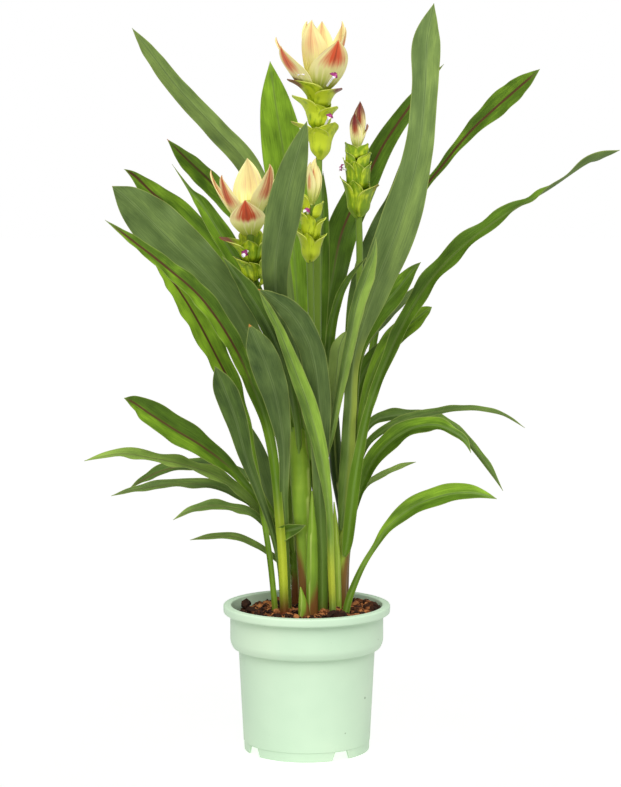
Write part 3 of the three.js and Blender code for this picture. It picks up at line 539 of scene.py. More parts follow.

# Each route runs from the stem to the tip. A point is where it is seen (right, down), how far
# back it lies and how wide the leaf is there. Roll turns the upper side away from the viewer.
# Look: how bright, which for leaves deep in the clump also holds painted shade, how strong the brown
# midrib stripe, how far the tip has dried. Sides: how much brighter the right half is painted than the
# left one, a painted light and shade. Other side and sheen: how far the faces swap their colours; on
# leaves that lie turned up it also paints a grey sheen that stands for the sky's reflection.
usualLeaf = {
    "slot": "leaf_green", "wave": 1, "sides": 0, "otherSideAndSheen": 0, "ruffle": 1, "foot": 0.4,
    "yellow": 0, "yellowFrom": (0.02, 0.2), "yellowRight": False,
}

leaves = {
    "leaf_l01": {"roll": [180, 182, 195], "fold": 20, "wave": 1.5, "look": (0.68, 0, 0.2), "route": [
        [298, 456, 0, 4], [297, 420, 4, 5], [294, 350, 10, 7], [280, 250, 12, 12], [252, 172, 6, 17],
        [215, 128, 0, 16], [178, 88, -6, 14], [150, 52, -12, 10], [132, 28, -16, 0]]},
    "leaf_l02": {"roll": [0, -15, -20], "fold": 18, "look": (0.58, 0.9, 0.5), "route": [
        [301, 452, 1, 4], [299, 415, 8, 4.5], [287, 340, 18, 6.5], [268, 270, 22, 9.5], [245, 222, 25, 14],
        [215, 186, 24, 17], [188, 160, 20, 14], [167, 139, 16, 0]]},
    "leaf_l03": {"roll": [0, 15, 10], "fold": 28, "look": (0.54, 0, 0), "route": [
        [297, 452, -3, 4], [294, 415, -2, 4.5], [285, 370, -2, 6.5], [268, 320, -5, 10], [245, 275, -6, 14],
        [222, 237, -6, 16], [202, 205, -6, 11], [190, 190, -6, 3.6], [172, 164, -6, 0]]},
    "leaf_l04": {"roll": [0, 0, -5], "fold": 15, "wave": 2, "sides": -0.1, "look": (0.56, 1, 0.3),
        "route": [
        [297, 446, 1, 4], [289, 405, 9, 5], [264, 350, 14, 9], [238, 305, 12, 14], [212, 255, 10, 21],
        [182, 218, 8, 22], [155, 195, 6, 17], [135, 176, 4, 6.5], [124, 169, 2, 0]]},
    "leaf_l05": {"roll": [180, 180, 175], "fold": 12, "wave": 2, "look": (0.4, 0, 0.4), "route": [
        [298, 442, -4, 5.5], [275, 395, -8, 9], [256, 350, -12, 14], [236, 312, -14, 23],
        [208, 277, -14, 31], [178, 248, -14, 36], [150, 220, -14, 33], [128, 199, -15, 20],
        [112, 186, -16, 0]]},
    "leaf_l06": {"roll": [0, 20, 30], "fold": 25, "wave": 1.5, "sides": 0.1, "look": (0.55, 1, 0.2),
        "yellow": 0.9, "foot": 1, "route": [
        [285, 624, -8, 6.5], [281, 540, -9, 7], [270, 440, -14, 8], [249, 378, -24, 12.5],
        [228, 336, -31, 14], [200, 297, -36, 15.5], [166, 267, -41, 12], [134, 242, -45, 8],
        [105, 220, -48, 0]]},
    "leaf_l07": {"slot": "leaf_bright", "roll": [0, 30, 35], "fold": 18, "wave": 1.5, "sides": 0.16,
        "look": (0.78, 1, 0), "route": [
        [276, 620, 6, 4.5], [270.5, 565, 4, 4.5], [262, 510, 0, 4.5], [250, 445, -6, 6.5],
        [235, 395, -12, 13], [214, 352, -16, 19], [197, 320, -20, 22], [180, 292, -24, 20],
        [164, 271, -28, 12], [150, 255, -32, 0]]},
    "leaf_l08": {"roll": [180, 180, 175], "fold": 15, "otherSideAndSheen": 0.4, "look": (0.2, 0, 0), "route": [
        [283, 616, 8, 4.5], [280.5, 570, 5, 4.5], [272, 530, 0, 5], [260, 495, -12, 6.5],
        [247, 460, -22, 10], [236, 420, -30, 16], [224, 388, -36, 16], [215, 366, -40, 0]]},
    "leaf_l09": {"roll": [180, 180, 180], "fold": 12, "look": (0.36, 0, 0), "route": [
        [291.5, 562, 26, 4.5], [275, 520, 32, 11], [263, 482, 34, 19], [252, 447, 34, 16],
        [243, 415, 33, 0]]},
    "leaf_l10": {"roll": [0, 25, 35], "fold": 16, "wave": 1.5, "sides": 0.1,
        "look": (0.48, 0.9, 0.1), "route": [
        [291, 556, 23, 3.6], [262, 505, 12, 5], [245, 484, 6, 6], [228, 466, -2, 10], [203, 447, -12, 17],
        [175, 430, -22, 21], [150, 414, -30, 19], [134, 403, -35, 11], [124, 398, -38, 0]]},
    "leaf_l11": {"roll": [30, 55, 55], "fold": 18, "wave": 1.5, "otherSideAndSheen": 0.7,
        "look": (0.8, 0.4, 0.2), "route": [
        [289.5, 546, 24, 4.5], [262, 515, 16, 6.5], [240, 492, 9, 9.5], [212, 474, 1, 12],
        [180, 464, -10, 12], [150, 458, -20, 11], [120, 454, -30, 10], [84, 461, -42, 0]]},
    "leaf_l12": {"roll": [30, 55, 50], "fold": 16, "otherSideAndSheen": 0.4, "look": (0.28, 0.6, 0), "route": [
        [290, 540, 25.5, 3.6], [268, 508, 24, 5], [250, 480, 24, 7], [225, 467, 28, 11], [195, 465, 33, 13],
        [165, 470, 38, 12], [145, 479, 41, 8], [130, 488, 43, 0]]},
    "leaf_l13": {"roll": [30, 58, 55], "fold": 16, "otherSideAndSheen": 0.7, "look": (0.52, 0.4, 0.2), "route": [
        [290, 552, 25, 3.6], [265, 522, 21, 6], [245, 500, 17, 8], [220, 488, 14, 10], [190, 484, 11, 11],
        [160, 486, 8, 10], [135, 490, 5, 7], [111, 496, 1, 0]]},
    "leaf_l14": {"roll": [20, 50, 50], "fold": 16, "otherSideAndSheen": 0.7, "look": (0.44, 0.4, 0), "route": [
        [292, 564, 23, 3.6], [270, 532, 13, 5], [252, 514, 5, 6.5], [232, 508, -4, 9], [210, 506, -14, 9.5],
        [190, 511, -22, 6.5], [173, 520, -29, 0]]},
    "leaf_l15": {"roll": [20, 50, 50], "fold": 16, "wave": 0.5, "otherSideAndSheen": 0.8,
        "look": (0.62, 0.4, 0), "route": [
        [293, 575, 23, 3.6], [272, 556, 19, 4.5], [255, 545, 14, 6], [235, 537, 8, 7], [212, 537, 0, 6],
        [190, 540, -8, 0]]},
    "leaf_l16": {"roll": [180, 165, 160], "fold": 20, "otherSideAndSheen": 0.8, "look": (0.22, 0, 0), "route": [
        [299, 462, -6, 4], [298, 430, -12, 5], [291, 390, -24, 7], [279, 350, -34, 11], [264, 318, -40, 15],
        [248, 292, -42, 13], [234, 272, -42, 6.5], [222, 256, -42, 0]]},
    "leaf_c01": {"roll": [180, 180, 180], "fold": 14, "wave": 1.5, "ruffle": 0,
        "look": (0.42, 0, 0), "route": [
        [299, 430, -6, 8], [289, 375, -16, 9], [280, 320, -27, 13], [275, 270, -40, 19],
        [283, 215, -50, 24], [293, 170, -54, 19], [302, 138, -56, 9], [307, 121, -56.9, 0]]},
    "leaf_c02": {"slot": "leaf_bright", "roll": [0, 0, 0], "fold": 14, "wave": 0.8, "ruffle": 0,
        "look": (0.74, 0.25, 0), "route": [
        [301, 462, 1, 4], [302, 425, 9, 6], [300, 350, 24, 11], [296, 280, 31, 19], [290, 210, 33.9, 28],
        [283, 150, 34.9, 32], [275, 100, 34.9, 22], [270, 61, 34.9, 0]]},
    "leaf_c03": {"roll": [180, 175, 165], "fold": 14, "wave": 1.5, "sides": -0.08,
        "look": (0.32, 0, 0.5), "route": [
        [322, 622, -9, 8.5], [322, 565, -9, 8.5], [320, 505, -12, 9.5], [320, 455, -18, 13],
        [319, 400, -27, 17], [311, 350, -36, 18], [295, 318, -42, 17], [276, 300, -47, 10],
        [258, 289, -50, 0]]},
    "leaf_c04": {"roll": [180, 185, 185], "fold": 16, "wave": 2, "sides": 0.08,
        "look": (0.28, 0, 0.6), "route": [
        [289, 618, 2, 5], [286.5, 560, -4, 5], [284, 500, -12, 6.5], [284, 450, -22, 9],
        [278, 405, -32, 18], [268, 370, -40, 22], [258, 345, -44, 17], [249, 324, -46, 0]]},
    "leaf_c05": {"slot": "leaf_bright", "roll": [180, 175, 175], "fold": 24, "sides": 0.1, "otherSideAndSheen": 0.6,
        "look": (0.72, 0, 0), "yellow": 0.9, "foot": 0, "route": [
        [333, 618, -16, 5.5], [331, 565, -17, 5.5], [329, 510, -20, 6], [321, 455, -27, 11],
        [309, 408, -33, 13], [295, 370, -38, 11], [280, 332, -44, 7], [268, 308, -50, 5],
        [259, 291, -54, 0]]},
    "leaf_c07": {"roll": [180, 180, 180], "fold": 16, "look": (0.35, 0, 0), "route": [
        [312, 460, -6, 4.5], [308, 415, -15, 9], [302, 383, -20, 13], [297, 355, -23, 12],
        [289, 332, -25, 8.5], [279, 311, -26, 0]]},
    "leaf_c08": {"roll": [10, 0, 0], "fold": 12, "wave": 0, "look": (0.25, 0, 0), "route": [
        [285, 531, -8.5, 12], [290, 530, -11, 10], [298, 528, -14, 6], [306, 525, -16, 0]]},
    "leaf_c10": {"roll": [0, 10, 10], "fold": 20, "look": (0.42, 0, 0), "route": [
        [317, 476, 2, 4.5], [326, 410, -3, 6], [328, 360, -8, 7], [332, 325, -13, 7], [339, 297, -16, 6],
        [350, 276, -18, 4], [370, 254, -22, 0]]},
    "leaf_c11": {"roll": [0, 0, 0], "fold": 14, "look": (0.4, 0, 0), "route": [
        [315, 484, 6, 4], [316, 440, 9, 5], [319, 350, 12, 9], [321, 290, 12, 12], [322, 240, 12, 11],
        [323, 200, 12, 7], [323, 171, 12, 0]]},
    "leaf_r01": {"roll": [180, 180, 185], "fold": 12, "wave": 1.5, "sides": 0.08, "look": (0.52, 0, 0),
        "yellow": 0.35, "yellowFrom": (0.05, 0.45), "yellowRight": True, "route": [
        [341, 530, -1.5, 3], [344, 497, -6, 9], [347.5, 455, -9, 10.5], [350, 410, -16, 9.5],
        [355, 352, -27, 10], [376, 285, -36, 23], [400, 222, -40, 27], [418, 155, -40, 20],
        [425, 90, -37, 18], [427, 40, -34, 19], [434, 3, -32, 0]]},
    "leaf_r02": {"roll": [0, -15, -20], "fold": 18, "wave": 1.5, "sides": 0.08,
        "look": (0.46, 1, 0.1), "route": [
        [352, 478, 8, 4.5], [364, 400, 14, 5], [378, 320, 18, 5.5], [395, 250, 20, 5], [415, 202, 18, 5.5],
        [442, 166, 14, 6], [470, 132, 9, 10], [500, 104, 4, 17], [523, 84, 0, 13], [540, 69, -3, 0]]},
    "leaf_r03": {"roll": [0, -10, -25, -60, -150], "fold": 22, "wave": 2,
        "look": (0.36, 0.3, 0.2), "route": [
        [344.5, 556, -1.5, 3], [348, 538, -4.5, 8.5], [355, 480, -12.5, 9.5], [365, 425, -14, 7],
        [377, 385, -14.5, 7.5], [400, 331, -17, 11], [430, 281, -20, 14], [467, 243, -22, 15],
        [510, 212, -25, 12], [548, 190, -28, 8], [590, 162, -30, 11], [620, 150, -31, 0]]},
    "leaf_r04": {"roll": [0, 0, -10], "fold": 15, "wave": 1.5, "look": (0.32, 1, 0), "route": [
        [316, 492, 6, 4], [318, 450, 11, 5], [322, 340, 19, 10], [332, 280, 22, 20], [342, 232, 24, 24],
        [361, 190, 24, 21], [383, 146, 22, 16], [405, 113, 20, 12.5], [427, 83, 19, 6], [444, 64, 18, 0]]},
    "leaf_r05": {"roll": [180, 180, 180], "fold": 12, "wave": 3, "look": (0.22, 0, 0), "route": [
        [350, 455, 8, 5], [349, 390, 8, 7], [355, 315, 4, 13], [368, 272, 2, 21], [384, 235, 0, 24],
        [402, 200, -2, 22], [414, 160, -4, 17], [421, 125, -5, 9], [428, 108, -6, 0]]},
    "leaf_r06": {"roll": [0, -15, -20], "fold": 14, "look": (0.45, 0, 0), "route": [
        [354, 452, -4, 4.5], [355, 390, -12, 5], [360, 347, -14, 9], [376, 315, -14, 17],
        [397, 290, -14, 16], [412, 271, -14, 7], [421, 262, -14, 0]]},
    "leaf_r07": {"roll": [180, 200, 200], "fold": 18, "look": (0.5, 0, 0), "route": [
        [354, 456, 2, 4.5], [356, 390, 0, 5], [363, 350, -2, 5], [384, 322, -2, 6], [403, 301, -2, 7],
        [419, 284, -2, 0]]},
    "leaf_r08": {"roll": [0, -15, -20], "fold": 18, "look": (0.68, 0, 0), "route": [
        [354, 462, 0, 4.5], [362, 415, -1, 6.5], [370, 382, -3, 8.5], [383, 352, -5, 12],
        [398, 334, -6, 15], [415, 320, -8, 14], [426, 311, -9, 8], [432, 307, -9, 0]]},
    "leaf_r09": {"roll": [0, -10, -10], "fold": 16, "look": (0.28, 0, 0), "route": [
        [351, 460, 6, 4.5], [354, 405, 8, 9.5], [363, 375, 8, 14], [374, 357, 7, 12], [384, 345, 6, 7],
        [392, 339, 6, 0]]},
    "leaf_r10": {"slot": "leaf_bright", "roll": [180, 160, 160], "fold": 24, "wave": 0.5, "sides": 0.22,
        "otherSideAndSheen": 0.35, "look": (0.66, 0, 0), "route": [
        [315, 490, 0, 4.5], [330, 440, -10, 5], [338, 400, -21, 6], [344, 370, -31, 8], [350, 340, -40, 9],
        [357, 305, -46, 11], [366, 278, -48, 11], [373.5, 255, -50, 5], [376, 237, -50, 0]]},
    "leaf_r11": {"slot": "leaf_bright", "roll": [180, 170, 170], "fold": 18,
        "look": (0.98, 0, 0), "route": [
        [316, 480, 0, 4.5], [331, 420, -8, 6], [334, 395, -16, 10], [337, 370, -22, 14],
        [339, 350, -26, 13], [343, 338, -28, 6.5], [346, 331, -29, 0]]},
    "leaf_r12": {"roll": [-20, -55, -60], "fold": 18, "wave": 0.5, "otherSideAndSheen": 0.6,
        "look": (0.4, 0.3, 0), "route": [
        [353, 505, 17, 3.6], [364, 452, 18, 4.5], [385, 430, 16, 7], [412, 418, 13, 9], [445, 411, 9, 8],
        [475, 409, 4, 6.5], [503, 415, -2, 4.5], [525, 428, -8, 0]]},
    "leaf_r13": {"roll": [-20, -50, -40], "fold": 18, "sides": 0.12, "otherSideAndSheen": 0.4,
        "look": (0.28, 0.3, 0.1), "route": [
        [353.5, 500, 18, 3.6], [361, 445, 29, 4.5], [373, 423, 33, 8], [393, 416, 36, 11],
        [420, 417, 38, 12], [444, 422, 40, 11], [466, 440, 41, 8], [486, 464, 40, 7], [503, 491, 37, 0]]},
    "leaf_r14": {"roll": [-10, -35, -30], "fold": 18, "wave": 1.5, "sides": 0.14,
        "look": (0.38, 0, 0), "route": [
        [350, 526, 17, 4], [361, 490, 12, 6], [372, 463, 1, 12], [390, 442, -9, 15], [413, 428, -18, 14],
        [436, 425, -26, 11], [455, 433, -33, 7], [465, 441, -37, 5], [471, 453, -41, 0]]},
    "leaf_r15": {"roll": [-20, -50, -50], "fold": 16, "wave": 0.5, "otherSideAndSheen": 0.8,
        "look": (0.85, 0, 0), "route": [
        [351, 516, 18, 3], [366, 486, 31, 4.5], [385, 474, 38, 6], [402, 466, 44, 5], [416, 462, 49, 0]]},
    "leaf_r16": {"roll": [0, -25, -35], "fold": 20, "sides": 0.1, "look": (0.56, 0, 0.3), "route": [
        [343.5, 622, -14, 5.5], [350, 596, -15, 5.5], [362.5, 567, -18, 4.5], [376, 545, -22, 4.5],
        [391, 524, -28, 9], [415, 506, -36, 14], [445, 495, -45, 15], [473, 493, -52, 11],
        [497, 499, -57, 0]]},
}


def makeLeaf(name, leaf):
    s = leafShape
    places = placeRoute(leaf["route"])
    length = routeLength(places)
    rows = max(s["leastRows"], round(length / s["rowLength"]))
    place = np.linspace(0, s["tipEnd"], rows + 1)
    stations = curveThrough(places, place)
    middle = stations[:, :3]
    half = np.maximum(stations[:, 3:], s["edge"]) / 2
    tangent = unit(np.gradient(middle, axis=0))
    roll = np.radians(curveThrough(leaf["roll"], place))
    towards = np.array([0.0, -1.0, 0.0])
    turned = (
        towards * np.cos(roll)
        + np.cross(tangent, towards) * np.sin(roll)
        + tangent * (tangent @ towards)[:, None] * (1 - np.cos(roll))
    )
    facing = unit(turned - tangent * (turned * tangent).sum(1, keepdims=True))
    side = np.cross(facing, tangent)

    place = place[:, None]
    phase = random.Random(name).uniform(0, math.tau)
    across = np.linspace(-1, 1, s["columns"] + 1)
    across = np.sign(across) * np.abs(across) ** 0.9
    spread = np.abs(across)
    fold = math.radians(leaf["fold"])
    opened = smooth(place, 0.02, s["channelEnd"])
    lift = half * mixed(s["channel"], math.sin(fold), opened) * spread ** mixed(2.0, 1.25, opened)
    strong = np.minimum(1, half / s["fullWave"])  # narrow stretches wave less
    turns = math.tau * length * place
    wave = np.sin(turns / s["waveLength"] + np.where(across > 0, s["waveShift"], 0))
    lift = lift + leaf["wave"] * spread**2 * np.sin(math.pi * place) * strong * wave
    turns = turns / s["ruffleLength"] * (1 + s["ruffleDrift"] * np.sign(across))
    ruffle = np.sin(turns + phase + s["ruffleShift"] * np.sign(across))
    lift = lift + leaf["ruffle"] * s["ruffle"] * spread**3 * opened * strong * ruffle
    flat = side[:, None] * (half * math.cos(fold) * across)[..., None]
    surface = middle[:, None] + flat + facing[:, None] * lift[..., None]
    rib = s["rib"] * np.exp(-((spread * half / s["ribWidth"]) ** 2))
    thick = s["edge"] / 2 + rib * smooth(1 - place, 0, 0.5)
    upper = surface + facing[:, None] * (s["edge"] / 2)
    points, faces = sheetShape(upper, surface - facing[:, None] * thick[..., None])

    fade = {key: smooth(place, *ends) for key, ends in leafFades.items()}
    # bright is the leaf's own tone, and for leaves deep in the clump also a painted shade that darkens them
    bright, stripe, worn = leaf["look"]
    low, high = leaf["yellowFrom"]
    yellow = leaf["yellow"] * smooth(place, low, low + 0.06) * (1 - smooth(place, high - 0.11, high))
    if leaf["yellowRight"]:
        yellow = yellow * smooth(across, -0.1, 0.5)
    fromSoil = leaf["route"][0][1] > s["soilY"]
    values = {
        "across": across * half,
        "along": place * length + phase * 40,
        "place": place,
        "inEdge": (1 - spread) * half,
        # the sides value paints one half of the blade brighter than the other: painted light and shade
        "tone": bright + leaf["sides"] * np.clip(across * half / 3, -1, 1),
        "stripe": stripe * fade["stripe"] * (1 - fade["stripeEnd"]),
        "worn": worn * fade["worn"] * 1.3,
        "stalk": (1 - fade["stalk"]) * smooth(1 - bright, 0.3, 0.6),
        "yellow": yellow,
        "brown": fromSoil * leaf["foot"] * (1 - fade["brown"]),
    }
    attributes = bothSides(values, surface.shape[:2])
    attributes["upper"] = np.repeat([1.0, 0.0], len(points) // 2)
    # the faces swap colours; on leaves that lie turned up this paints a grey sheen that stands for the sky's
    # reflection
    attributes["sideColour"] = mixed(leaf["otherSideAndSheen"], 1 - leaf["otherSideAndSheen"], attributes["upper"])
    piece = addPiece(name + "_fine", points, faces.tolist(), attributes, "leaf", 50)
    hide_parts(name)


for leafName, leafValues in leaves.items():
    makeLeaf(leafName, {**usualLeaf, **leafValues})
print("leaves made:", len(leaves))


stemShape = {
    "sides": 28, "rowLength": 3, "tip": 0.8, "overlap": 0.1, "openWidth": 2, "mouth": 26, "slant": 12,
    "brownSide": (20, 150), "lightEdge": 0.05, "redEnd": 0.25,
}

# A point is where it is seen, how far back it lies and the stem's width there. Brown is how far
# up and on which side (degrees from the front, to the right) a stem is brown. Wrap is where the
# rolled sheath's edge runs, at the foot and at the top.
# Tone is how bright a stem is; the stems at the back are made darker as painted shade between the stems.
stems = {
    "stem_main": {"brown": (0.55, -80), "wrap": (-10, 70), "tone": 0.5, "route": [
        [307, 626, -4, 11], [306, 575, -4, 12], [302.5, 520, -4, 14], [300, 470, -3, 15.5],
        [297, 425, -2, 12]]},
    "stem_middle": {"brown": (0.2, 0), "wrap": (60, 10), "tone": 0.35, "route": [
        [326, 620, 8, 8], [325, 570, 7, 8], [320, 510, 5, 8], [313, 460, 4, 8], [312, 435, 4, 6]]},
    "stem_right": {"brown": (0.55, 75), "wrap": (-50, -20), "tone": 0.85, "route": [
        [339, 622, 4, 8.5], [342, 568, 4, 9], [346, 520, 4, 12.6], [349.5, 478, 3, 15.5],
        [354, 435, 2, 11]]},
    "stem_back_left": {"brown": (0.3, 0), "wrap": (40, 0), "tone": 0.25, "route": [
        [297, 612, 24, 7], [294.5, 570, 24, 7], [291, 525, 24, 7], [289, 470, 21, 7], [287, 425, 18, 5]]},
    "stem_back_middle": {"brown": (0.3, 0), "wrap": (-40, 0), "tone": -0.05, "route": [
        [343, 604, 30, 8], [344, 560, 29, 8], [343, 515, 28, 8], [336, 465, 25, 10], [333, 400, 20, 8]]},
    "stem_back_right": {"brown": (0.6, 0), "wrap": (40, 0), "tone": 0.3, "route": [
        [343, 610, 18, 7], [345, 560, 18, 7], [350, 520, 17, 7], [355, 490, 17, 5]]},
    "sheath_front": {"brown": (0.35, 60), "wrap": (-35, 0), "tone": 0.42, "route": [
        [312, 626, -17, 8.5], [312, 570, -17, 9], [312, 530, -16, 7], [312, 491, -13, 0.8]]},
    "sheath_right": {"brown": (0.1, 0), "wrap": (30, 0), "tone": 0.72, "route": [
        [338, 622, -4.5, 6], [337, 570, -4.5, 5.5], [336, 535, -4, 4.5], [334, 502, -4, 0.8]]},
    "sprout": {"brown": (0.9, 80), "wrap": (-60, 0), "tone": 0.5, "red": 0.4, "route": [
        [305, 626, -20, 9.5], [303.5, 607, -20, 8], [300.5, 587, -19, 0.8]]},
}


def tubeShape(route, sides, rows, wrap=(0, 0), overlap=0.0):
    place = np.linspace(0, 1, rows + 1)
    stations = curveThrough(placeRoute(route), place)
    radius = np.maximum(stations[:, 3:], stemShape["tip"]) / 2
    angle = np.linspace(0, math.tau, sides, endpoint=False)
    edge = np.radians(mixed(*wrap, place))[:, None] - math.pi / 2
    around = ((angle - edge) % math.tau) / math.tau  # 0 to 1 from the sheath's edge
    size = radius * (1 - overlap + overlap * (1 - around) ** 0.7)
    ring = np.stack([np.cos(angle), np.sin(angle), np.zeros(sides)], axis=-1)
    points = (stations[:, None, :3] + ring * size[..., None]).reshape(-1, 3)
    turn = np.degrees(angle) + 90  # degrees from the front, to the right
    return points, place[:, None], around, turn


def makeStem(name, stem):
    length = routeLength(placeRoute(stem["route"]))
    rows, sides = round(length / stemShape["rowLength"]), stemShape["sides"]
    points, place, around, turn = tubeShape(stem["route"], sides, rows, stem["wrap"], stemShape["overlap"])
    if stem["route"][-1][3] > stemShape["openWidth"]:  # an open sheath is cut aslant, higher in front
        drop = (1 - np.cos(np.radians(turn))) / 2 * stemShape["slant"]
        points[:, 2] -= (drop * smooth(place, 1 - stemShape["mouth"] / length, 1)).ravel()
    height, brownTurn = stem["brown"]
    away = np.abs((turn - brownTurn + 180) % 360 - 180)
    reach = height * (1.15 - smooth(away, *stemShape["brownSide"]))
    values = {
        "around": around,
        "along": place * length,
        "tone": stem["tone"] + 0.1 * place,
        "brown": 1 - smooth(place, reach * 0.25, reach + 0.02),
        "light": 1 - smooth(around, 0, stemShape["lightEdge"]),
        "red": stem.get("red", 0) * (1 - smooth(place, 0, stemShape["redEnd"])),
    }
    attributes = {key: np.broadcast_to(value, around.shape) for key, value in values.items()}
    piece = addPiece(name + "_fine", points, tubeFaces(rows + 1, sides), attributes, "stem", 60)
    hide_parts(name)


for stemName, stemValues in stems.items():
    makeStem(stemName, stemValues)
print("stems made:", len(stems))


# Flower heads: the stalk's route and the core above it, then the bracts. A bract is its foot's
# place along the head (0 at the lowest bract, 1 at the top), where its tip is seen, how far the
# tip lies behind the stalk, how far round the stalk a green one wraps to each side, in degrees, or
# how wide a cream one is, and how brown or red it is. Blush is where the red starts, is full and
# ends along a cream bract, and how wide it is.
heads = {
    "flower_top": {
        "stalk": [[315, 478, 4, 3], [318, 400, 3, 4], [317, 320, 2, 6], [317, 240, 3, 6],
            [319, 168, 5, 4.6], [319, 103, 8, 5]],
        "core": [[319, 105, 8, 4], [320, 70, 8, 4]],
        "footY": 165, "topY": 78, "bow": 4, "body": 8, "tone": 0.2,
        "green": [[0.06, 335, 122, -8, 75, 0.3], [0.16, 291, 121, -2, 60, 0.5], [0.1, 316, 127, -12, 60, 0],
            [0.14, 322, 118, 12, 60, 0], [0.4, 292, 95, -3, 70, 0.1], [0.42, 337, 106, -5, 70, 0.2],
            [0.4, 316, 104, -10, 70, 0], [0.42, 324, 98, 11, 60, 0], [0.64, 287, 79, -4, 95, 1],
            [0.64, 342, 88, -5, 95, 0.8], [0.66, 320, 80, 13, 60, 0]],
        "coma": [[0.86, 312, 20, -9, 28, 0.3], [0.82, 338, 40, -24, 32, 1], [0.76, 281, 46, -20, 24, 0.9],
            [0.8, 276, 37, 7, 22, 0.7], [0.88, 342, 21, 6, 24, 0.3], [0.8, 345, 27, -4, 20, 0.8],
            [0.9, 322, 21, 14, 22, 0.3], [0.88, 307, 21, 8, 20, 0.3]],
        "blush": (0.3, 0.68, 1.2, 0.8), "rust": 0.1, "maroon": 0,
        "florets": [[0.78, 334, 76, -27, 1], [0.3, 329, 117, -18, 1], [0.7, 302, 74, -16, 0]],
    },
    "flower_left": {
        "stalk": [[297, 440, -3, 3], [287, 385, -5, 3], [273, 340, -14, 3], [260, 300, -22, 3],
            [254, 280, -24, 3.6], [250, 232, -25, 5]],
        "core": [[250, 234, -25, 4], [247, 200, -25, 4]],
        "footY": 290, "topY": 208, "bow": 4, "body": 8, "tone": -0.06,
        "green": [[0, 233, 271, -4, 65, 0], [0.04, 264, 268, -2, 60, 0], [0.1, 233, 256, -6, 75, 0.1],
            [0.12, 268, 250, -2, 65, 0], [0.12, 250, 262, -13, 50, 0], [0.16, 252, 246, 11, 60, 0],
            [0.3, 219, 237, -3, 70, 1], [0.32, 270, 233, 0, 70, 0.2], [0.34, 248, 240, -11, 50, 0.2],
            [0.36, 250, 226, 12, 60, 0]],
        "coma": [[0.66, 245, 200, -22, 27, 1], [0.82, 247, 158, 6, 24, 0.12],
            [0.76, 269.5, 164, -14, 24, 0.8], [0.72, 222, 175, -12, 20, 0.9], [0.72, 211, 170, 2, 14, 0.8],
            [0.82, 283, 162, 8, 16, 0.3]],
        "blush": (0.28, 0.58, 1.2, 0.9), "rust": 0.55, "maroon": 0,
        "florets": [[0.5, 245, 253, -15, 1]],
    },
    "flower_middle": {
        "stalk": [[313, 466, 2, 2.8], [313, 400, -4, 3.2], [311.5, 330, -9, 4.2], [310, 262, -12, 5],
            [310, 240, -13, 5], [312, 205, -14, 4]],
        "core": [[312, 207, -14, 2.8], [315, 185, -14, 3]],
        "footY": 262, "topY": 196, "bow": 1.5, "body": 6.5, "tone": 0.22,
        "green": [[0, 291, 225, -2, 80, 0], [0.02, 327, 233, -3, 75, 0.1], [0.04, 307, 233, -9, 50, 0],
            [0.06, 311, 222, 9, 60, 0], [0.36, 292, 205, -2, 75, 0], [0.34, 326, 217, -1, 70, 0.1],
            [0.38, 309, 214, -8, 50, 0], [0.66, 299, 190, -1, 75, 0.2], [0.66, 323, 201, -2, 75, 0]],
        "coma": [[0.86, 316, 158, -3, 12, 0.8], [0.84, 311, 162, -5, 10, 0.6],
            [0.88, 318, 166, 2, 10, 0.3]],
        "blush": (0.28, 0.45, 0.8, 0.45), "rust": 0.3, "maroon": 0,
        "florets": [[0.6, 307, 211, -7, 1]],
    },
    "flower_right": {
        "stalk": [[351, 470, -2, 3], [352, 400, -8, 3.4], [357, 330, -10, 4.2], [359.5, 270, -12, 4.8],
            [359, 222, -13, 4.6], [357, 158, -14, 4.5]],
        "core": [[357, 160, -14, 3.6], [358, 130, -14, 3]],
        "footY": 218, "topY": 145, "bow": 1, "body": 8, "tone": -0.14,
        "green": [[0, 340, 176, -1, 70, 0.3], [0.02, 378, 184, -6, 75, 0.6], [0.02, 353, 180, -10, 50, 0],
            [0.06, 361, 176, 9, 60, 0], [0.34, 343, 157, -1, 75, 0.4], [0.36, 371, 161, -1, 75, 0.4],
            [0.36, 354, 161, -10, 55, 0], [0.6, 370, 152, -3, 80, 0.3], [0.62, 346, 150, -1, 75, 0.2],
            [0.78, 346, 142, -2, 85, 0.4], [0.8, 367, 143, -2, 85, 0.4]],
        "coma": [[0.94, 360, 101, -4, 11, 1], [0.9, 355, 113, -5, 11, 1], [0.92, 367, 124, 1, 9, 0.9]],
        "blush": (0.15, 0.65, 1.3, 0.7), "rust": 1, "maroon": 1,
        "florets": [[0.6, 342, 168, -4, 1]],
    },
}

# The shares run from a bract's foot to its tip: how far it has come out to the head's body, then
# on to its tip, how high its middle line is, and how much of its full wrap or width is left.
bractShape = {
    "rows": 24, "columns": 16, "thick": 0.45, "footRadius": 2.5, "narrow": 62, "layer": 1.1, "bend": 0.6,
    "flare": 0.8, "flareFrom": (0.45, 0.8), "crinkle": 0.2, "calmTip": (0.9, 1), "rimSides": (0.4, 0.75),
    "rimTip": (0.85, 1), "tipFrom": (0.35, 0.95), "tipWidth": 14, "tipStrength": 1.2,
    "stalkSides": 16, "stalkRows": 60,
    "green": {"body": [0, 0.85, 1, 1, 1], "reach": [0, 0, 0.1, 0.45, 1],
              "height": [0, 0.22, 0.5, 0.78, 1], "full": [1, 1, 1, 0.8, 0]},
    "coma": {"body": [0, 0, 0, 0, 0], "reach": [0, 0.3, 0.56, 0.8, 1],
             "height": [0, 0.24, 0.5, 0.76, 1], "full": [0.25, 0.72, 1, 0.62, 0]},
}


def axisPoint(head, share):
    wanted = mixed(head["footY"], head["topY"], share)
    rows = head["stalk"] + head["core"]
    index = next(at for at in range(1, len(rows)) if rows[at][1] <= wanted)
    start, end = rows[index - 1], rows[index]
    along = (wanted - start[1]) / (end[1] - start[1])
    x = mixed(start[0], end[0], along)
    back = mixed(start[2], end[2], along)
    return placeSeen(x, wanted, openBack(back, wanted))


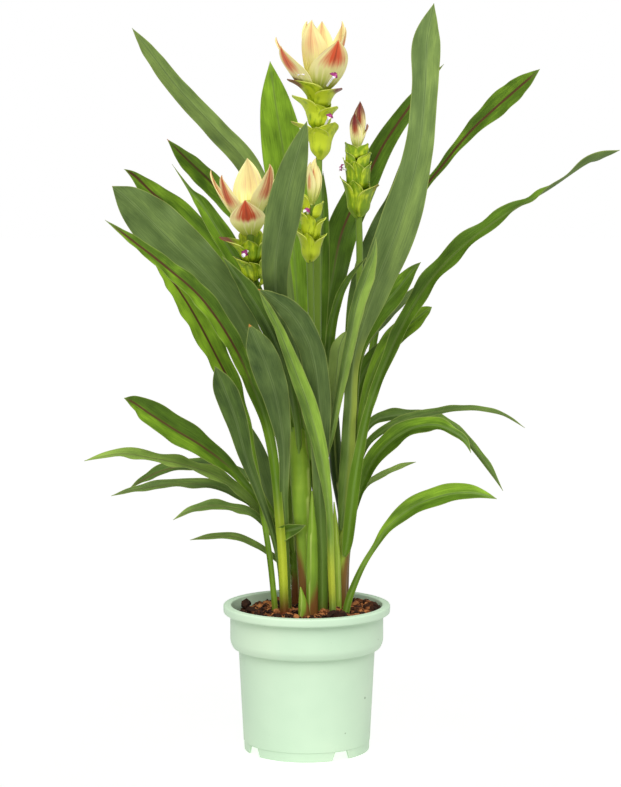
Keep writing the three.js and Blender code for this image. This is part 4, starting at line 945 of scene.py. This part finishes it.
def bractSheet(foot, top, entry, head, kind, seed):
    # a green bract wraps round the head's axis, a narrow one under the wider ones; a cream one
    # bends round a line of its own
    b = bractShape
    _, tipX, tipY, behind, wide, stain = entry
    form = b[kind]
    tip = placeSeen(tipX, tipY, foot[1] + behind)
    rise = unit(top - foot)
    height = (tip - foot) @ rise
    level = tip - foot - rise * height
    reach = np.linalg.norm(level)
    outward = level / reach
    side = np.cross(rise, outward)
    place = np.linspace(0, 1, b["rows"] + 1)
    bodyShare, reachShare, heightShare, full = (
        curveThrough(form[name], place) for name in ("body", "reach", "height", "full")
    )
    place = place[:, None]
    if kind == "green":
        body = head["body"] - (b["layer"] if wide < b["narrow"] else 0)
        radial = mixed(b["footRadius"], body, bodyShare) + (reach - body) * reachShare
        bend = radial
        halfAngle = math.radians(wide) * np.maximum(full, 0)
    else:
        radial = reach * reachShare + head["bow"] * np.sin(math.pi * place)
        bend = np.full_like(place, b["bend"] * wide)
        halfAngle = wide / 2 / bend * np.maximum(full, 0)
    across = np.linspace(-1, 1, b["columns"] + 1)
    angle = halfAngle * across
    flare = b["flare"] * across**2 * smooth(place, *b["flareFrom"])
    crinkle = b["crinkle"] * np.sin(across * 9 + seed * 30) * np.sin(place * 7 + seed * 9)
    out = outward * np.cos(angle)[..., None] + side * np.sin(angle)[..., None]
    line = foot + rise * height * heightShare + outward * (radial - bend)
    loose = (flare + crinkle) * (1 - smooth(place, *b["calmTip"]))
    surface = line[:, None] + out * (bend + loose)[..., None]
    normal = unit(np.cross(np.cross(out, rise), np.gradient(surface, axis=0)))
    normal = normal * np.where((normal * out).sum(-1, keepdims=True) < 0, -1, 1)
    skin = normal * b["thick"] / 2
    points, faces = sheetShape(surface - skin, surface + skin)
    start, whole, end, spread = head["blush"]
    blush = smooth(place, start, whole) * (1 - smooth(place, end - 0.2, end + 0.1))
    tipMiddle = np.exp(-((angle * bend / b["tipWidth"]) ** 2)) * b["tipStrength"]
    rimSides = np.abs(across) ** 3 * smooth(place, *b["rimSides"])
    values = {
        "across": across,
        "place": place,
        "seed": seed,
        "rim": np.maximum(rimSides, smooth(place, *b["rimTip"])),
        "tip": stain * smooth(place, *b["tipFrom"]) * tipMiddle,
        "blush": np.exp(-((across / spread) ** 2)) * blush,
        "stain": stain,
        "stalk": 0,
    }
    return points, faces, bothSides(values, angle.shape)


def stalkShape(route, names):
    rows, sides = bractShape["stalkRows"], bractShape["stalkSides"]
    points, _, around, _ = tubeShape(route, sides, rows)
    values = {name: np.zeros(len(points)) for name in names}
    values["across"] = around * 2 - 1
    values["place"] = np.full(len(points), 0.25)
    values["stalk"] = np.ones(len(points))
    return points, tubeFaces(rows + 1, sides, ends=False), values


def makeHead(name, head):
    topX, topY, topBack, _ = head["core"][-1]
    top = placeSeen(topX, topY, openBack(topBack, topY))
    seeds = random.Random(name)
    for kind, finish, route, slot, node in (
        ("green", "green", head["stalk"], "bract_lime", name + "_bracts"),
        ("coma", "cream", head["core"], "coma_cream", name + "_coma"),
    ):
        shapes = [
            bractSheet(axisPoint(head, entry[0]), top, entry, head, kind, seeds.random())
            for entry in head[kind]
        ]
        shapes.append(stalkShape(route, shapes[0][2]))
        points, faces, attributes = joinShapes(shapes)
        if kind == "coma":
            attributes["rust"] = np.full(len(points), head["rust"])
            attributes["tip"] = attributes["tip"] * head["maroon"]
        attributes["tone"] = np.full(len(points), head["tone"])
        piece = addPiece(node + "_fine", points, faces, attributes, finish, 50)
        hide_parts(node)


for headName, headValues in heads.items():
    makeHead(headName, headValues)
print("flower heads made:", len(heads))


floretShape = {
    "petals": 4, "whitePetal": 3, "length": 4.2, "width": 2.6, "rows": 6, "columns": 4, "thick": 0.25,
    "reach": 0.8, "arch": 0.9, "cup": 0.4,
    "tubeFrom": 0.55, "tubeRadius": (0.5, 0.9), "tubeRows": 5, "tubeSides": 8,
}


def petalShape(heart, outward, lean, length):
    f = floretShape
    place = np.linspace(0, 1, f["rows"] + 1)[:, None]
    across = np.linspace(-1, 1, f["columns"] + 1)
    path = heart + place * length * f["reach"] * lean + (place - place**2) * length * f["arch"] * outward
    half = f["width"] / 2 * np.sin(math.pi * mixed(0.12, 0.95, place))
    surface = path[:, None] + np.cross(outward, lean) * (half * across)[..., None]
    surface = surface + outward * (across**2 * half * f["cup"])[..., None]
    skin = outward * f["thick"] / 2
    points, faces = sheetShape(surface + skin, surface - skin)
    return points, faces, bothSides({"place": place}, surface.shape[:2])


def makeFlorets(name, head):
    f = floretShape
    seeds = random.Random(name + "florets")
    for number, (share, x, y, behind, violet) in enumerate(head["florets"]):
        foot = axisPoint(head, share)
        heart = placeSeen(x, y, foot[1] + behind)
        outward = unit(heart - foot)
        side = unit(np.cross(outward, [0, 0, 1]))
        rise = np.cross(side, outward)
        shapes = {"violet": [], "white": []}
        for petal in range(f["petals"]):
            turn = math.tau * (petal + seeds.uniform(-0.15, 0.15)) / f["petals"] + 0.6
            lean = side * math.cos(turn) + rise * math.sin(turn)
            colour = "violet" if violet and petal != f["whitePetal"] else "white"
            length = f["length"] * seeds.uniform(0.75, 1.05)
            shapes[colour].append(petalShape(heart, outward, lean, length))
        steps = np.linspace(f["tubeFrom"], 1, f["tubeRows"])[:, None]
        ring = np.linspace(0, math.tau, f["tubeSides"], endpoint=False)[:, None]
        wall = side * np.cos(ring) + rise * np.sin(ring)
        middle = foot + steps * (heart - foot)
        points = (middle[:, None] + wall * mixed(*f["tubeRadius"], steps)[..., None]).reshape(-1, 3)
        faces = tubeFaces(len(steps), len(ring), ends=False)
        shapes["white"].append((points, faces, {"place": np.zeros(len(points))}))
        for colour, made in shapes.items():
            if made:
                points, faces, attributes = joinShapes(made)
                piece = addPiece(f"{name}_floret{number + 1}_{colour}", points, faces, attributes, colour, 50)


for headName, headValues in heads.items():
    makeFlorets(headName, headValues)
print("florets made")


potShape = {
    "height": 105, "rimRadius": 60, "rimInnerRadius": 54.2, "lipHeight": 6, "lipRound": 1.5,
    "collarRadius": 55, "collarFootRadius": 53, "collarHeight": 27, "collarTaper": 4,
    "shoulderDrop": 1.2, "bodyTopRadius": 49, "footTopRadius": 45.6, "footRadius": 45,
    "footHeight": 6.5, "footSeam": 0.4, "wall": 1.5, "floorThickness": 2,
    "segments": 192, "ringStep": 4.8, "sharpAngle": 40,
}

notchShape = {
    "firstAngle": 33, "count": 4, "footWidth": 15, "topWidth": 10, "height": 6.2,
    "depth": 12, "startInside": 7, "below": 1,
}


def roundCorner(before, corner, after, size, steps=5):
    # a corner of an outline, rounded over a given size
    before, corner, after = (np.array(point, float) for point in (before, corner, after))
    start = corner + unit(before - corner) * min(size, np.linalg.norm(before - corner) / 2)
    end = corner + unit(after - corner) * min(size, np.linalg.norm(after - corner) / 2)
    share = np.linspace(0, 1, steps + 1)[:, None]
    return ((1 - share) ** 2 * start + 2 * share * (1 - share) * corner + share**2 * end).tolist()


def makePot():
    p = potShape
    collarFoot = p["height"] - p["lipHeight"] - p["collarHeight"] + p["shoulderDrop"]
    collarBase = collarFoot + p["shoulderDrop"]
    collarTop = collarBase + p["collarTaper"]
    lipFoot = p["height"] - p["lipHeight"]
    floorTop = p["footHeight"] + p["floorThickness"]
    wall = p["wall"]
    corners = [
        ([0, p["footHeight"]], 0),
        ([p["footRadius"] - wall, p["footHeight"]], 0.4),
        ([p["footRadius"] - wall, 0], 0.3),
        ([p["footRadius"], 0], 0.3),
        ([p["footTopRadius"] - p["footSeam"], p["footHeight"]], 0.2),
        ([p["footTopRadius"], p["footHeight"] + 0.1], 0.3),
        ([p["bodyTopRadius"], collarFoot], 0.3),
        ([p["collarFootRadius"], collarBase], 0.7),
        ([p["collarRadius"], collarTop], 2.5),
        ([p["collarRadius"], lipFoot], 0.3),
        ([p["rimRadius"] - 0.2, lipFoot], p["lipRound"]),
        ([p["rimRadius"], p["height"]], p["lipRound"]),
        ([p["rimInnerRadius"], p["height"]], 1.1),
        ([p["rimInnerRadius"] - 0.4, lipFoot], 1),
        ([p["collarRadius"] - wall - 0.1, collarTop], 1.5),
        ([p["bodyTopRadius"] - wall, collarFoot], 1),
        ([p["footTopRadius"] - wall, floorTop], 1),
        ([0, floorTop], 0),
    ]
    outline = []
    for index, (corner, size) in enumerate(corners):
        if size == 0:
            outline.append(corner)
        else:
            outline.extend(roundCorner(corners[index - 1][0], corner, corners[index + 1][0], size))
    rings = [outline[0]]
    for start, end in zip(outline, outline[1:]):
        pieces = max(1, round(math.dist(start, end) / p["ringStep"]))
        for step in range(1, pieces + 1):
            rings.append([mixed(start[0], end[0], step / pieces), mixed(start[1], end[1], step / pieces)])
    radius, height = np.array(rings[1:-1]).T
    angle = np.linspace(0, math.tau, p["segments"], endpoint=False)
    flat = [np.outer(radius, np.cos(angle)), np.outer(radius, np.sin(angle))]
    points = np.stack([*flat, np.outer(height, np.ones(len(angle)))], axis=-1).reshape(-1, 3)
    pot = addPiece("pot_fine", points, tubeFaces(len(radius), len(angle)), {}, "pot", p["sharpAngle"])
    bpy.context.view_layer.objects.active = pot
    for number in range(notchShape["count"]):
        cutter = makeNotch(math.radians(notchShape["firstAngle"] + number * 360 / notchShape["count"]))
        modifier = pot.modifiers.new("notch", "BOOLEAN")
        modifier.object = cutter
        modifier.operation = "DIFFERENCE"
        modifier.solver = "EXACT"
        bpy.ops.object.modifier_apply(modifier=modifier.name)
        bpy.data.objects.remove(cutter)
    pot.data.set_sharp_from_angle(angle=math.radians(p["sharpAngle"]))
    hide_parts("pot")


def makeNotch(turn):
    n = notchShape
    near = n["startInside"] - potShape["footRadius"]
    foot, top = n["footWidth"] / 2, n["topWidth"] / 2
    profile = [(-foot, -n["below"]), (foot, -n["below"]), (top, n["height"]), (-top, n["height"])]
    points = np.array([(x, depth, z) for depth in (near, near - n["depth"]) for x, z in profile])
    faces = [[3, 2, 1, 0], [4, 5, 6, 7]] + [[i, (i + 1) % 4, (i + 1) % 4 + 4, i + 4] for i in range(4)]
    turned = points @ np.array(Matrix.Rotation(turn, 3, "Z")).T
    return putIn("notch", meshOf("notch", turned, faces))


makePot()
print("pot made")


insideWall = potShape["collarRadius"] - potShape["wall"]
soilShape = {
    "topHeight": 98.6, "mound": 1.5, "leanRight": 0.06, "leanBack": 0.02, "sink": 0.5,
    "rings": 80, "segments": 220, "gap": 0.3, "shade": 0.1,
    "edgeHeight": 80, "stepHeight": 72.2,  # where its side meets the collar's and the body's wall
    "lumps": 2.6, "lumpSize": 9, "fine": 1.1, "fineSize": 3,
}


def soilHeight(x, y):
    s = soilShape
    share = min(1.0, math.hypot(x, y) / (insideWall - s["gap"]))
    height = s["topHeight"] + s["mound"] * (1 - share**2) + s["leanRight"] * x + s["leanBack"] * y
    height += s["lumps"] * noise.noise(Vector((x, y, 3)) / s["lumpSize"])
    height += s["fine"] * noise.noise(Vector((x, y, 9)) / s["fineSize"])
    return height - s["sink"]


def makeSoil():
    s = soilShape
    radius = insideWall - s["gap"]
    inset = potShape["wall"] + s["gap"]
    rings = [
        (potShape["footTopRadius"] - inset, potShape["footHeight"] + potShape["floorThickness"] + s["gap"]),
        (potShape["bodyTopRadius"] - inset, s["stepHeight"]),
        (radius, s["edgeHeight"]),
    ]
    rings += [(radius * ring / s["rings"], None) for ring in range(s["rings"], 0, -1)]
    points = []
    for size, height in rings:
        for step in range(s["segments"]):
            turn = math.tau * step / s["segments"]
            x, y = size * math.cos(turn), size * math.sin(turn)
            points.append([x, y, height or soilHeight(x, y)])
    shade = {"shade": np.full(len(points), s["shade"])}
    piece = addPiece("soil_fine", points, tubeFaces(len(rings), s["segments"]), shade, "soil")
    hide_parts("soil")


# A clod is where it is seen, how far back it lies, its size, how far it stands up and its shade.
crumbShape = {
    "small": 1500, "large": 420, "smallSize": (0.6, 1.5), "largeSize": (1.4, 3.4), "clear": 1,
    "lift": 0.25, "rough": 0.28,
    "clods": [[246, 600, 14, 4.6, 1.2, 0.02], [251, 602, 6, 4.2, 0.9, 0.05], [243, 606, 0, 3.4, 0.5, 0.02],
              [257, 606, 0, 3, 0.4, 0.3], [334, 607, -34, 5.5, 0.45, 0.02], [342, 606, -34, 4, 0.45, 0.1],
              [372, 598, 0, 4, 0.45, 0.2]],
}


def ballShape(detail):
    ball = bmesh.new()
    bmesh.ops.create_icosphere(ball, subdivisions=detail, radius=1)
    points = np.array([vertex.co for vertex in ball.verts])
    faces = np.array([[vertex.index for vertex in face.verts] for face in ball.faces])
    ball.free()
    return points, faces


def lumpShape(draw, ball, centre, size, shade):
    points, faces = ball
    stretch = np.array([draw.uniform(0.7, 1.5), draw.uniform(0.7, 1.2), draw.uniform(0.5, 0.95)])
    rough = 1 + crumbShape["rough"] * np.array([draw.uniform(-1, 1) for _ in range(len(points))])
    turn = Matrix.Rotation(draw.uniform(0, math.tau), 3, "Z")
    tilt = Matrix.Rotation(draw.uniform(-0.5, 0.5), 3, "X")
    lump = (points * rough[:, None] * stretch * size) @ np.array(turn @ tilt).T
    return lump + centre, faces, {"shade": np.full(len(points), shade)}


def scattered(draw, limit):
    turn = draw.uniform(0, math.tau)
    away = limit * math.sqrt(draw.random())
    return away * math.cos(turn), away * math.sin(turn)


def makeCrumbs():
    draw = random.Random(7)
    balls = {"small": ballShape(1), "large": ballShape(2)}
    shapes = []
    for kind, ball in balls.items():
        low, high = crumbShape[kind + "Size"]
        for _ in range(crumbShape[kind]):
            size = mixed(low, high, draw.random() ** 2)
            x, y = scattered(draw, insideWall - crumbShape["clear"] - size)
            centre = np.array([x, y, soilHeight(x, y) + size * crumbShape["lift"]])
            shapes.append(lumpShape(draw, ball, centre, size, draw.random() ** 2.2))
    for x, y, back, size, lift, shade in crumbShape["clods"]:
        centre = placeSeen(x, y, back)
        centre[2] = soilHeight(centre[0], centre[1]) + size * lift
        shapes.append(lumpShape(draw, balls["large"], centre, size, shade))
    points, faces, attributes = joinShapes(shapes)
    piece = addPiece("soil_crumbs", points, faces, attributes, "crumb", 30)


fibreShape = {
    "count": 420, "length": (3, 11), "width": (0.18, 0.5), "points": 6, "clear": 2, "arch": 1.6,
    "lift": 0.5, "bend": 0.2,
}


def makeFibres():
    f = fibreShape
    draw = random.Random(11)
    share = np.linspace(0, 1, f["points"])
    taper = 0.4 + 0.6 * np.sin(math.pi * np.clip(share, 0.1, 0.9))
    corners = np.radians([330, 210, 90])
    shapes = []
    for _ in range(f["count"]):
        length = draw.uniform(*f["length"])
        width = draw.uniform(*f["width"])
        x, y = scattered(draw, insideWall - f["clear"] - length / 2)
        heading, bend = draw.uniform(0, math.tau), draw.uniform(-f["bend"], f["bend"])
        arch = draw.uniform(0, f["arch"])
        path = []
        for step in share:
            heading += bend
            x += math.cos(heading) * length / f["points"]
            y += math.sin(heading) * length / f["points"]
            path.append([x, y, soilHeight(x, y) + f["lift"] + arch * math.sin(math.pi * step)])
        path = np.array(path)
        tangent = unit(np.gradient(path, axis=0))
        side = unit(np.cross(tangent, [0, 0, 1]))
        up = np.cross(side, tangent)
        ring = side[:, None] * np.cos(corners)[:, None] + up[:, None] * np.sin(corners)[:, None]
        points = (path[:, None] + ring * width * taper[:, None, None]).reshape(-1, 3)
        shade = {"shade": np.full(len(points), draw.uniform(0.5, 1.0))}
        shapes.append((points, tubeFaces(len(share), len(corners), ends=False), shade))
    points, faces, attributes = joinShapes(shapes)
    piece = addPiece("soil_fibres", points, faces, attributes, "crumb")


makeSoil()
makeCrumbs()
makeFibres()
print("soil made")


def addSun(name, sun):
    lamp = bpy.data.lights.new(name, "SUN")
    lamp.energy = sun["strength"]
    lamp.angle = math.radians(sun["softness"])
    holder = putIn(name, lamp)
    holder.rotation_euler = Vector(sun["from"]).to_track_quat("Z", "Y").to_euler()
    return holder


def makeStage():
    world = bpy.data.worlds.new("studio")
    world.use_nodes = True
    sky = world.node_tree.nodes["Background"]
    sky.inputs["Color"].default_value = (1, 1, 1, 1)
    # the backdrop is seen white, and lights the plant less than that
    nodes = Nodes(world.node_tree)
    seen = nodes.node("ShaderNodeLightPath", output="Is Camera Ray")
    strength = seen * (1 - lights["world"]) + lights["world"]
    nodes.tree.links.new(strength.socket, sky.inputs["Strength"])
    bpy.context.scene.world = world
    lamp = addSun("softSun", lights["sun"])
    mesh = bpy.data.meshes.new("floor")
    size = lights["floorSize"]
    corners = [(-size, -size, 0), (size, -size, 0), (size, size, 0), (-size, size, 0)]
    mesh.from_pydata(corners, [], [[0, 1, 2, 3]])
    mesh.materials.append(finishes["floor"])
    floor = putIn("floor", mesh)
    # the sun leaves the floor out, so that the plant casts no hard shadow on it
    left = bpy.data.collections.new("leftOut")
    left.objects.link(floor)
    lamp.light_linking.receiver_collection = left
    left.collection_objects[0].light_linking.link_state = "EXCLUDE"


def makeCamera():
    lens = bpy.data.cameras.new("camera")
    lens.sensor_fit = "VERTICAL"
    lens.sensor_height = view["sensor"]
    lens.lens = view["focalPixels"] * view["sensor"] / view["tall"]
    camera = putIn("camera", lens)
    camera.location = (
        potMiddle.x + view["right"] * millimetre,
        potMiddle.y - view["distance"] * millimetre,
        view["height"] * millimetre,
    )
    camera.rotation_euler = (math.radians(90 - view["pitch"]), 0, 0)
    bpy.context.scene.camera = camera


makeStage()
makeCamera()
bpy.context.scene.view_settings.view_transform = "Standard"
print("stage made")
